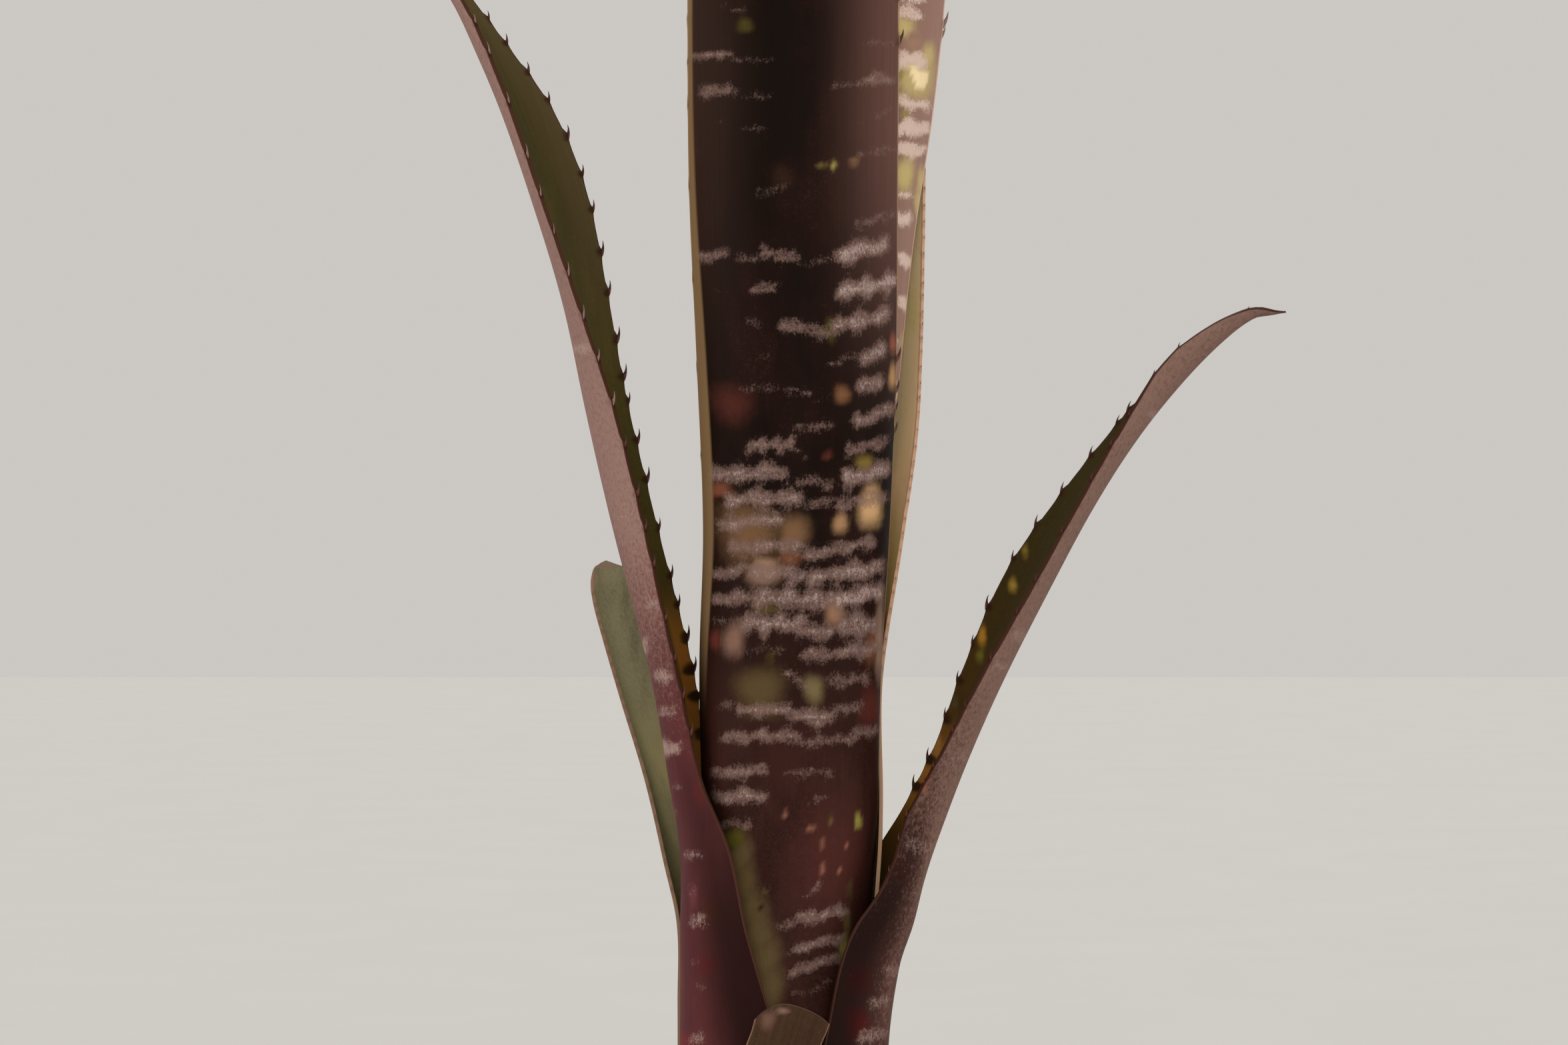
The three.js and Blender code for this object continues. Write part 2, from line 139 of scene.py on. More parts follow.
# Pot and potting mix. A fade is how far a mound or the crumbs keep from the leaves or the wall.
POT_HEIGHT = 108.0
POT_BASE_RADIUS = 45.0
POT_NECK_RADIUS = 60.0
POT_WALL = 2.2
POT_FLOOR = 3.0
POT_ROUNDING = 0.6
POT_SIDES = 128
FLOOR_RING_RADII = (6.0, 20.0)
RIM_HEIGHT = 14.0
RIM_OVERHANG = 3.0
DRAIN_COUNT = 6
DRAIN_RADIUS = 4.0
DRAIN_RING_RADIUS = 29.0
DRAIN_SIDES = 32
FIT_GAP = 0.4
SOIL_TOP = 96.0
SOIL_SIDES = 144
SOIL_RINGS = 26
CRUMB_HEIGHT = 0.9
CRUMB_PITCH = 0.35
CRUMB_HOLE_FADE = 4
CRUMB_WALL_FADE = 2
TOP_TOLERANCE = 0.1
MOUND_HEIGHT = 1.3
MOUND_LENGTH_X = 33.0
MOUND_LENGTH_Y = 27.0
HOLE_FADE = 12.0
WALL_FADE = 7.0
CROWN_HOLE_RADIUS = 24.2
CROWN_HOLE_DEPTH = 5.0
STEM_RADIUS = 8.2
STEM_FOOT = 56.0
SEAT_RING_RADIUS = 3.0

# Loose chips and grains: their reach for a size of 1, how far they keep from leaves and wall,
# how far they tilt, and how uneven they are.
CHIP_REACH = 5.2
CHIP_TILT_X = 0.45
CHIP_TILT_Y = 0.35
CHIP_LUMPS = 0.35
CHIP_LUMP_PITCH = 2.6
LEAF_CLEARANCE = 1.5
WALL_CLEARANCE = 0.6


def tone(red, green, blue):
    """A colour given in display values from 0 to 255."""
    linear = []
    for part in (red, green, blue):
        value = part / 255.0
        low = value / 12.92
        high = ((value + 0.055) / 1.055) ** 2.4
        linear.append(low if value <= 0.04045 else high)
    return (*linear, 1.0)


class Value:
    """A number socket of a material, for use in sums."""

    def __init__(self, paint, socket):
        self.paint = paint
        self.socket = socket

    def math(self, operation, *others):
        inputs = dict(enumerate((self, *others)))
        return self.paint.node("ShaderNodeMath", {"operation": operation}, inputs)

    def __add__(self, other):
        return self.math("ADD", other)

    __radd__ = __add__

    def __sub__(self, other):
        return self.math("SUBTRACT", other)

    def __rsub__(self, other):
        inputs = {0: other, 1: self}
        return self.paint.node("ShaderNodeMath", {"operation": "SUBTRACT"}, inputs)

    def __mul__(self, other):
        return self.math("MULTIPLY", other)

    __rmul__ = __mul__

    def size(self):
        return self.math("ABSOLUTE")

    def step(self, start, end):
        """0 at start and 1 at end, with a smooth turn between them."""
        return self.paint.node(
            "ShaderNodeMapRange",
            {"interpolation_type": "SMOOTHSTEP"},
            {"Value": self, "From Min": start, "From Max": end},
        )


class Paint:
    """A material and its nodes."""

    def __init__(self, name):
        self.material = bpy.data.materials.new(name)
        self.material.use_nodes = True
        self.tree = self.material.node_tree
        self.shader = self.tree.nodes["Principled BSDF"]

    def node(self, kind, settings=None, inputs=None, output=0):
        made = self.tree.nodes.new(kind)
        for name, value in (settings or {}).items():
            setattr(made, name, value)
        for name, value in (inputs or {}).items():
            self.join(value, made.inputs[name])
        return Value(self, made.outputs[output])

    def join(self, value, socket):
        if isinstance(value, Value):
            self.tree.links.new(value.socket, socket)
        else:
            socket.default_value = value

    def mix(self, factor, first, second, blend="MIX"):
        settings = {"data_type": "RGBA", "blend_type": blend}
        return self.node("ShaderNodeMix", settings, {0: factor, 6: first, 7: second}, 2)

    def attribute(self, name, output="Fac"):
        return self.node("ShaderNodeAttribute", {"attribute_name": name}, None, output)

    def place(self):
        """A point on the object, in millimetres."""
        spot = self.node("ShaderNodeTexCoord", None, None, "Object")
        return self.stretch(spot, 1 / MM, 1 / MM, 1 / MM)

    def skin(self):
        """A point on a leaf, in millimetres across and along."""
        return self.node("ShaderNodeUVMap", {"uv_map": "UVMap"})

    def stretch(self, vector, across, along, deep=1.0):
        inputs = {0: vector, 1: (across, along, deep)}
        return self.node("ShaderNodeVectorMath", {"operation": "MULTIPLY"}, inputs)

    def grain(self, vector, scale, detail=2.0, roughness=0.5, warp=0.0):
        inputs = {"Vector": vector, "Scale": scale, "Detail": detail}
        inputs.update({"Roughness": roughness, "Distortion": warp})
        return self.node("ShaderNodeTexNoise", None, inputs)

    def finish(self, colour, roughness, height=None, depth=1.0, gloss=0.3):
        self.shader.inputs["Specular IOR Level"].default_value = gloss
        self.join(colour, self.shader.inputs["Base Color"])
        self.join(roughness, self.shader.inputs["Roughness"])
        if height is not None:
            inputs = {"Strength": 1.0, "Distance": depth * MM, "Height": height}
            normal = self.node("ShaderNodeBump", None, inputs)
            self.join(normal, self.shader.inputs["Normal"])
        return self.material


def clear_selection():
    if bpy.context.object and bpy.context.object.mode != "OBJECT":
        bpy.ops.object.mode_set(mode="OBJECT")
    bpy.ops.object.select_all(action="DESELECT")


def select_only(obj):
    clear_selection()
    obj.select_set(True)
    bpy.context.view_layer.objects.active = obj


def smooth_all(obj, sharp_turn):
    """Smooth shading, but for edges that turn by more than the given angle in degrees."""
    select_only(obj)
    bpy.ops.object.shade_smooth_by_angle(angle=math.radians(sharp_turn))


def own_copy(pattern, matrix):
    """A copy of the pattern, with its own mesh at its own place."""
    copy = pattern.copy()
    copy.data = pattern.data.copy()
    copy.data.transform(matrix)
    bpy.context.collection.objects.link(copy)
    return copy


def join_copies(base, copies):
    """Joins the copies to the base piece."""
    clear_selection()
    for copy in copies:
        copy.select_set(True)
    base.select_set(True)
    bpy.context.view_layer.objects.active = base
    bpy.ops.object.join()


def shade_smooth(mesh):
    mesh.polygons.foreach_set("use_smooth", [True] * len(mesh.polygons))


def add_float(mesh, name, values):
    layer = mesh.attributes.new(name, "FLOAT", "POINT")
    layer.data.foreach_set("value", np.asarray(values, dtype=np.float32))


def bevel_edges(obj, width, segments, sharp_turn):
    """Rounds the edges that turn by more than the given angle in degrees."""
    apply_modifier(
        obj, "BEVEL", width=width * MM, segments=segments, limit_method="ANGLE",
        angle_limit=math.radians(sharp_turn), use_clamp_overlap=True,
    )


def apply_modifier(obj, kind, **settings):
    select_only(obj)
    modifier = obj.modifiers.new(kind.lower(), kind)
    for name, value in settings.items():
        setattr(modifier, name, value)
    bpy.ops.object.modifier_apply(modifier=modifier.name)


# Leaf shapes.


class Leaf:
    """One leaf, as rows from its root to its tip.

    A row is its midrib's height, reach outwards from the plant's axis and drift sideways, its
    widths left and right of the midrib, the radius of its curl, and its turn about the midrib
    in degrees. azimuth says where it faces, in degrees from the camera towards the right.
    layer counts the sheaths from outside, wrap gives both widths at each height of the sheath,
    spines_from is a height, and blunt gives how far a rounded end drops: left, middle, right.
    """

    def __init__(self, name, azimuth, layer, wrap, spines_from, blade, blunt=None):
        self.name = name
        self.spines_from = spines_from
        self.blunt = blunt
        tube = TUBE_RADIUS - LAYER_PITCH * layer
        sheath = [
            [height, tube - pinch, 0.0, left, right, tube - pinch, 0.0]
            for height, pinch, (left, right) in zip(SHEATH_HEIGHTS, SHEATH_PINCH, wrap)
        ]
        rows = np.array(sheath + [list(row) for row in blade], dtype=float)
        step = rows[-1, :3] - rows[-2, :3]
        step = step / np.linalg.norm(step)
        end = rows[-1].copy()
        if blunt:
            end[:3] += step * BLUNT_REACH
            end[3:5] *= BLUNT_NARROWING
        else:
            end[:3] += step * TIP_SPINE
            end[3:5] = TIP_HALF_WIDTH
        self.rows = np.vstack([rows, end])
        lengths = np.linalg.norm(np.diff(self.rows[:, :3], axis=0), axis=1)
        self.knots = np.concatenate([[0.0], np.cumsum(lengths)])
        count = len(self.knots)
        before = np.maximum(np.arange(count) - 1, 0)
        after = np.minimum(np.arange(count) + 1, count - 1)
        spans = self.knots[after] - self.knots[before]
        self.slopes = (self.rows[after] - self.rows[before]) / spans[:, None]
        self.total = self.knots[-1]
        angle = math.radians(azimuth)
        self.outward = np.array([math.sin(angle), -math.cos(angle), 0.0])
        self.sideways = np.array([math.cos(angle), math.sin(angle), 0.0])

    def values(self, at):
        """The row at each distance along the leaf, on smooth curves through the given rows."""
        i = np.clip(np.searchsorted(self.knots, at) - 1, 0, len(self.knots) - 2)
        span = self.knots[i + 1] - self.knots[i]
        t = np.clip((at - self.knots[i]) / span, 0.0, 1.0)
        ease = (t * t * (3 - 2 * t))[:, None]
        leaving = (t * (1 - t) ** 2 * span)[:, None] * self.slopes[i]
        arriving = (t * t * (1 - t) * span)[:, None] * self.slopes[i + 1]
        return self.rows[i] * (1 - ease) + self.rows[i + 1] * ease + leaving - arriving

    def midrib(self, at):
        height, reach, drift = self.values(at)[:, :3].T
        up = np.array([0.0, 0.0, 1.0])
        return (
            height[:, None] * up
            + reach[:, None] * self.outward
            + drift[:, None] * self.sideways
        )

    def directions(self, at):
        """Unit vectors along the midrib, towards the tube's inside and across the leaf."""
        ahead = self.midrib(np.minimum(at + FRAME_STEP, self.total))
        behind = self.midrib(np.maximum(at - FRAME_STEP, 0.0))
        along = ahead - behind
        along /= np.linalg.norm(along, axis=1)[:, None]
        facing = np.cross(along, self.sideways)
        facing /= np.linalg.norm(facing, axis=1)[:, None]
        return along, facing, np.cross(facing, along)

    def point(self, at, side, swell=0.0, lift=0.0):
        """Points of the leaf, and how far they are from the midrib and which way is along.

        side is from -1 at the left margin to 1 at the right one. swell is outwards over the
        margin, and lift is towards the inside of the curl.
        """
        along, facing, across = self.directions(at)
        left, right, curl, turn = self.values(at)[:, 3:].T
        turn = np.radians(turn)[:, None]
        inward = facing * np.cos(turn) + across * np.sin(turn)
        over = across * np.cos(turn) - facing * np.sin(turn)
        arc = side * np.where(side < 0, left, right) + np.sign(side) * swell
        swing = arc / curl
        radius = (curl - lift)[:, None]
        curl = curl[:, None]
        place = (
            self.midrib(at)
            + inward * (curl - radius * np.cos(swing)[:, None])
            + over * radius * np.sin(swing)[:, None]
        )
        return place, arc, along

    def end_drop(self, side):
        """How much earlier a blunt leaf ends towards its margins, which rounds it."""
        if not self.blunt:
            return np.zeros_like(side)
        left, middle, right = self.blunt
        return middle + np.where(side < 0, left, right) * np.abs(side) ** BLUNT_POWER

    def at_photo_row(self, side, row):
        """The distance along the leaf at which a margin crosses a row of the photo's pixels."""
        ats = np.linspace(0.0, self.total - SEARCH_END, SEARCH_STEPS)
        points, _, _ = self.point(ats, np.full_like(ats, float(side)))
        return float(ats[np.argmin(np.abs(photo_pixels(points)[1] - row))])

    def at_height(self, height):
        ats = np.linspace(0.0, self.total, SEARCH_STEPS)
        heights = self.values(ats)[:, 0]
        return float(ats[np.argmax(heights >= height)])


LEAVES = [
    Leaf(
        "leaf_left", -97, 1, [(40, 44), (44, 49), (42, 45.5)], 226,
        [
            (176, 22.5, 0, 33, 37, 24, 1), (195, 22.5, 0, 28, 31, 24, 1),
            (210, 22.5, 0, 24, 26, 23, 0), (225, 25, 0, 18, 17.5, 20, -6),
            (248, 29, 0, 16.5, 15, 17, -4), (283, 38, 0, 17, 16, 17, -5),
            (307, 43.5, 0, 16.5, 16, 18, -3), (330, 48, 0, 15.5, 15.5, 21, 5),
            (352, 54, 0, 15.5, 16, 21, 12), (369, 60, 0, 13.5, 14.5, 18, 13),
            (384, 67, 0, 8.5, 9.5, 10, 11), (394, 72, 0, 5, 6, 5.5, 11),
            (410, 82, 0, 2.5, 3, 4, 11), (419, 91.5, 0, 1, 1, 3, 11),
        ],
    ),
    Leaf(
        "leaf_right", 97, 2, [(34, 34), (40, 40), (35, 37)], 205,
        [
            (170, 21, 0, 28.5, 27, 21.5, 0), (187, 23.5, 0, 26.5, 24.5, 22, 2),
            (196, 26.5, 0, 24.5, 22, 21.5, 2), (206, 29, 0, 20, 19, 19, 0),
            (217, 33, 0, 18, 16.5, 17, 4), (231, 38.5, 0, 16, 15.5, 19, 5),
            (248, 46, 0, 16, 16, 20, 1), (268, 56, 0, 15.5, 16, 20, -3),
            (285, 65.5, 0, 13, 13, 17, -1), (300, 75.5, 0, 10.5, 10.5, 12, 5),
            (313, 86, 0, 8.5, 9, 7, 15), (322, 95, 0, 5.5, 6, 4.5, 17),
            (327, 102, 0, 2.5, 3, 3, 17), (327.5, 106.5, 0, 1, 1, 2.5, 17),
        ],
    ),
    Leaf(
        "leaf_front", 0, 4, [(28, 28), (33, 33), (36, 36)], 236,
        [
            (200, 17, 0, 31.5, 29.5, 17.5, 0), (222, 18, 0.5, 29, 26.5, 18.5, 0),
            (251, 18.5, 0.5, 26.5, 26.5, 19.5, 0), (280, 19, 1.5, 25, 27, 20.5, 0),
            (316, 20.5, 1.5, 25.5, 27, 23, 0), (354, 21.5, 1, 26, 26.5, 25.5, 0),
            (394, 23.5, 1, 25.5, 25.5, 27.5, 0), (420, 28, 0.5, 24, 23.5, 29, -1),
            (443, 37.5, 0.5, 19, 18.5, 27, -4), (458, 49.5, 0.5, 12, 12, 20, -6),
            (463.5, 59.5, 0, 5.5, 5.5, 10, -8), (462.5, 65, 0, 1, 1, 4, -8),
        ],
    ),
    Leaf(
        "leaf_inner_right", 52, 5, [(22, 22), (28, 28), (31, 31)], 250,
        [
            (222, 15, 0, 28.5, 27, 15, 0), (250, 15.5, 0, 26, 24.5, 16, 1),
            (275, 16, 0, 24, 21, 18.5, 7), (305, 17, 0, 21.5, 19, 23, 16),
            (341, 18.5, 0, 18.5, 21, 26, 21), (370, 20, 0, 15.5, 24, 28, 27),
            (394, 21.5, 0, 16, 25.5, 29, 29), (420, 25, 0, 17, 23, 29, 28),
            (446, 31.5, 0, 15.5, 17.5, 26, 25), (464, 40.5, 0, 9.5, 10, 18, 22),
            (474, 49.5, 0, 4, 4, 9, 20), (476.5, 54.5, 0, 1, 1, 4, 20),
        ],
    ),
    Leaf(
        "leaf_back", 150, 3, [(25, 30), (30, 36), (30, 37)], 250,
        [
            (200, 19.5, 0, 26, 34, 19.5, 0), (222, 20, 0, 21, 31, 20.5, 1),
            (250, 20.5, 0, 21.5, 27, 21.5, 3), (280, 20.5, 0, 22, 24, 30, -3),
            (308, 21, 0, 21.5, 22.5, 40, -12), (351, 22, 0, 21.5, 22, 43, -14),
            (394, 26, 0, 21, 21.5, 35.5, -8), (424, 33, 0, 19, 19, 29.5, 1),
            (444, 43, 0, 15, 15, 25, 4), (456, 55, 0, 9, 9, 16, 6), (458, 65, 0, 3.5, 3.5, 8, 6),
            (457, 69, 0, 1, 1, 4, 6),
        ],
    ),
    Leaf(
        "leaf_centre", -72, 6, [(18, 18), (24, 24), (26, 25)], 300,
        [
            (222, 13, 0, 25, 23, 13, 0), (300, 12.5, 0, 23, 17, 13, 0), (350, 13, 0, 21, 14, 14, 0),
            (394, 14, 0, 17.5, 12.5, 16, 0), (424, 16.5, 0, 13.5, 12, 16, 0),
            (446, 21.5, 0, 8, 8, 11, 0), (457, 26.5, 0, 3.5, 3.5, 6, 0),
            (461.5, 29.5, 0, 1, 1, 3, 0),
        ],
    ),
    Leaf(
        "leaf_short_back_left", -135, 0, [(24, 9.5), (28, 11), (28, 11)], 200,
        [
            (178, 25, 0, 23, 11, 25, 0), (195, 25.5, 0, 17.5, 11, 23, 0),
            (208, 30.5, 0, 14, 11.5, 18, 0), (224, 37, 0, 12.5, 11.5, 15, 0),
            (242, 45.5, 0, 12, 11.5, 14, 0), (257, 52, 0, 11, 11, 14, 0),
            (266, 55.5, 0, 8.5, 8.5, 14, 0), (271, 57, 0, 5.5, 5.5, 12, 0),
            (273, 57.5, 0, 2.5, 2.5, 9, 0),
        ],
        blunt=(1.5, 0.0, 1.5),
    ),
    Leaf(
        "leaf_short_front", -4, 0, [(17, 17), (17, 17), (13, 13)], 0,
        [
            (162, 28.5, -1, 9.5, 9.5, 23, 0), (174, 31, 1.5, 7.5, 7.5, 18, 0),
            (183, 33, 4.5, 7, 7, 16, 0),
        ],
        blunt=(6.0, 1.6, 2.0),
    ),
]


# Markings are placed by photo pixels, and lie on the leaf that those pixels show.
# Scurf strokes: from x, y to x, y, half their height in pixels, and how strong they are.
STROKES = {
    "leaf_front": (
        (1085, 12, 1125, 12, 6, 0.35), (1040, 84, 1100, 84, 7, 0.85), (1100, 90, 1160, 90, 6, 0.4),
        (1295, 66, 1342, 64, 8, 0.4), (1245, 129, 1290, 128, 7, 0.45), (1290, 122, 1340, 118, 10, 0.85),
        (1052, 138, 1098, 134, 10, 0.8), (1098, 142, 1160, 144, 7, 0.4),
        (1115, 193, 1152, 197, 7, 0.35), (1065, 180, 1090, 187, 5, 0.25),
        (1282, 188, 1310, 177, 4, 0.35), (1305, 175, 1342, 165, 7, 0.45),
        (1283, 234, 1345, 220, 7, 0.55), (1133, 292, 1182, 283, 10, 0.35),
        (1190, 292, 1242, 302, 5, 0.25), (1283, 335, 1328, 326, 9, 0.6), (1328, 325, 1345, 322, 8, 0.5),
        (1048, 383, 1095, 382, 10, 0.75), (1105, 388, 1140, 387, 8, 0.5),
        (1140, 380, 1198, 384, 11, 0.65), (1200, 394, 1245, 392, 8, 0.35),
        (1252, 384, 1330, 366, 16, 1.05), (1128, 438, 1166, 427, 8, 0.7),
        (1255, 440, 1345, 420, 16, 1.05), (1062, 435, 1095, 435, 5, 0.25),
        (1118, 484, 1142, 487, 9, 0.4), (1168, 486, 1242, 500, 12, 0.7),
        (1248, 492, 1332, 470, 15, 0.95), (1128, 536, 1162, 533, 7, 0.3),
        (1240, 545, 1290, 532, 7, 0.45), (1288, 537, 1326, 526, 14, 1.0),
        (1113, 583, 1167, 581, 7, 0.45), (1178, 584, 1216, 594, 8, 0.5),
        (1222, 600, 1252, 594, 5, 0.35), (1283, 582, 1322, 570, 13, 0.95),
        (1278, 630, 1342, 615, 12, 0.9), (1190, 640, 1208, 641, 8, 0.5), (1208, 646, 1248, 636, 8, 0.6),
        (1123, 672, 1192, 664, 12, 0.8), (1192, 676, 1212, 688, 7, 0.5),
        (1268, 676, 1328, 662, 11, 0.75), (1066, 712, 1180, 708, 14, 0.9),
        (1194, 718, 1248, 727, 9, 0.65), (1262, 718, 1332, 704, 15, 1.0),
        (1090, 750, 1202, 746, 14, 0.9), (1202, 757, 1248, 753, 9, 0.6),
        (1252, 757, 1330, 745, 13, 0.7), (1080, 788, 1176, 778, 12, 0.9),
        (1095, 822, 1204, 818, 12, 0.85), (1204, 835, 1248, 825, 12, 0.8),
        (1248, 825, 1310, 812, 11, 0.85), (1072, 862, 1125, 853, 11, 0.8),
        (1125, 858, 1210, 862, 14, 0.85), (1210, 868, 1248, 862, 14, 0.95),
        (1248, 862, 1322, 850, 15, 1.0), (1072, 900, 1130, 895, 12, 0.8),
        (1130, 895, 1248, 900, 18, 0.9), (1248, 900, 1322, 888, 16, 1.05),
        (1072, 930, 1100, 935, 9, 0.5), (1112, 936, 1210, 936, 17, 0.9),
        (1205, 948, 1252, 945, 14, 0.85), (1256, 942, 1314, 935, 20, 0.9),
        (1118, 977, 1178, 975, 7, 0.4), (1200, 984, 1252, 980, 12, 0.75),
        (1252, 980, 1315, 972, 13, 0.85), (1176, 1008, 1218, 1034, 9, 0.65),
        (1238, 1022, 1302, 1018, 12, 0.6), (1078, 1060, 1106, 1056, 8, 0.5),
        (1108, 1066, 1186, 1064, 11, 0.85), (1186, 1072, 1248, 1078, 14, 0.9),
        (1246, 1066, 1292, 1060, 12, 0.55), (1085, 1106, 1200, 1104, 10, 0.85),
        (1195, 1112, 1250, 1112, 10, 0.6), (1250, 1112, 1320, 1092, 11, 0.7),
        (1071, 1159, 1150, 1156, 10, 0.85), (1178, 1160, 1249, 1160, 9, 0.5),
        (1073, 1195, 1150, 1194, 12, 0.9), (1213, 1203, 1240, 1197, 8, 0.45),
        (1082, 1238, 1130, 1236, 9, 0.6), (1208, 1340, 1232, 1325, 7, 0.6),
        (1107, 1335, 1140, 1328, 6, 0.3), (1167, 1390, 1215, 1380, 8, 0.6),
        (1195, 1378, 1268, 1366, 10, 0.9), (1187, 1425, 1265, 1405, 9, 0.85),
        (1182, 1460, 1262, 1434, 9, 0.85), (1187, 1495, 1250, 1470, 7, 0.45),
    ),
    "leaf_inner_right": (
        (1345, 22, 1380, 22, 9, 0.8), (1345, 2, 1385, 2, 7, 0.7), (1345, 90, 1385, 92, 13, 0.95),
        (1345, 152, 1390, 158, 10, 0.9), (1342, 190, 1392, 194, 12, 1.0),
        (1342, 222, 1385, 226, 11, 1.0), (1345, 293, 1365, 293, 7, 0.8),
        (1342, 328, 1362, 328, 12, 1.0), (1345, 388, 1368, 394, 10, 1.0),
        (1345, 455, 1362, 458, 11, 1.0),
    ),
    "leaf_left": (
        (863, 523, 887, 523, 11, 0.7), (905, 670, 925, 670, 8, 0.35), (926, 775, 946, 778, 7, 0.4),
        (924, 809, 944, 806, 7, 0.35), (942, 852, 964, 850, 6, 0.35), (972, 907, 992, 907, 10, 0.6),
        (958, 967, 974, 967, 15, 0.8), (966, 1020, 980, 1020, 12, 0.4),
        (985, 1014, 1008, 1014, 10, 0.7), (991, 1070, 1016, 1068, 10, 0.55),
        (986, 1125, 1022, 1121, 14, 0.8), (1005, 1221, 1018, 1221, 12, 0.5),
        (1030, 1283, 1054, 1283, 10, 0.5), (1037, 1337, 1050, 1337, 15, 0.3),
        (1038, 1380, 1062, 1381, 12, 0.5), (1046, 1479, 1063, 1479, 9, 0.3),
        (1036, 1559, 1058, 1557, 10, 0.5), (1012, 1180, 1024, 1182, 8, 0.4),
        (1040, 1440, 1052, 1442, 9, 0.3),
    ),
    "leaf_right": (
        (1722, 619, 1742, 619, 9, 0.8), (1640, 700, 1660, 700, 8, 0.3), (1574, 828, 1590, 828, 8, 0.4),
        (1516, 952, 1536, 952, 11, 0.6), (1487, 1000, 1508, 1000, 12, 0.55),
        (1462, 1052, 1480, 1052, 8, 0.3), (1422, 1138, 1450, 1134, 12, 0.4),
        (1392, 1190, 1424, 1186, 9, 0.25), (1353, 1270, 1395, 1266, 15, 0.4),
        (1324, 1457, 1352, 1454, 10, 0.55), (1360, 1340, 1382, 1336, 12, 0.3),
        (1345, 1400, 1366, 1396, 12, 0.25), (1300, 1508, 1330, 1500, 11, 0.55),
        (1285, 1558, 1325, 1550, 12, 0.6),
    ),
}

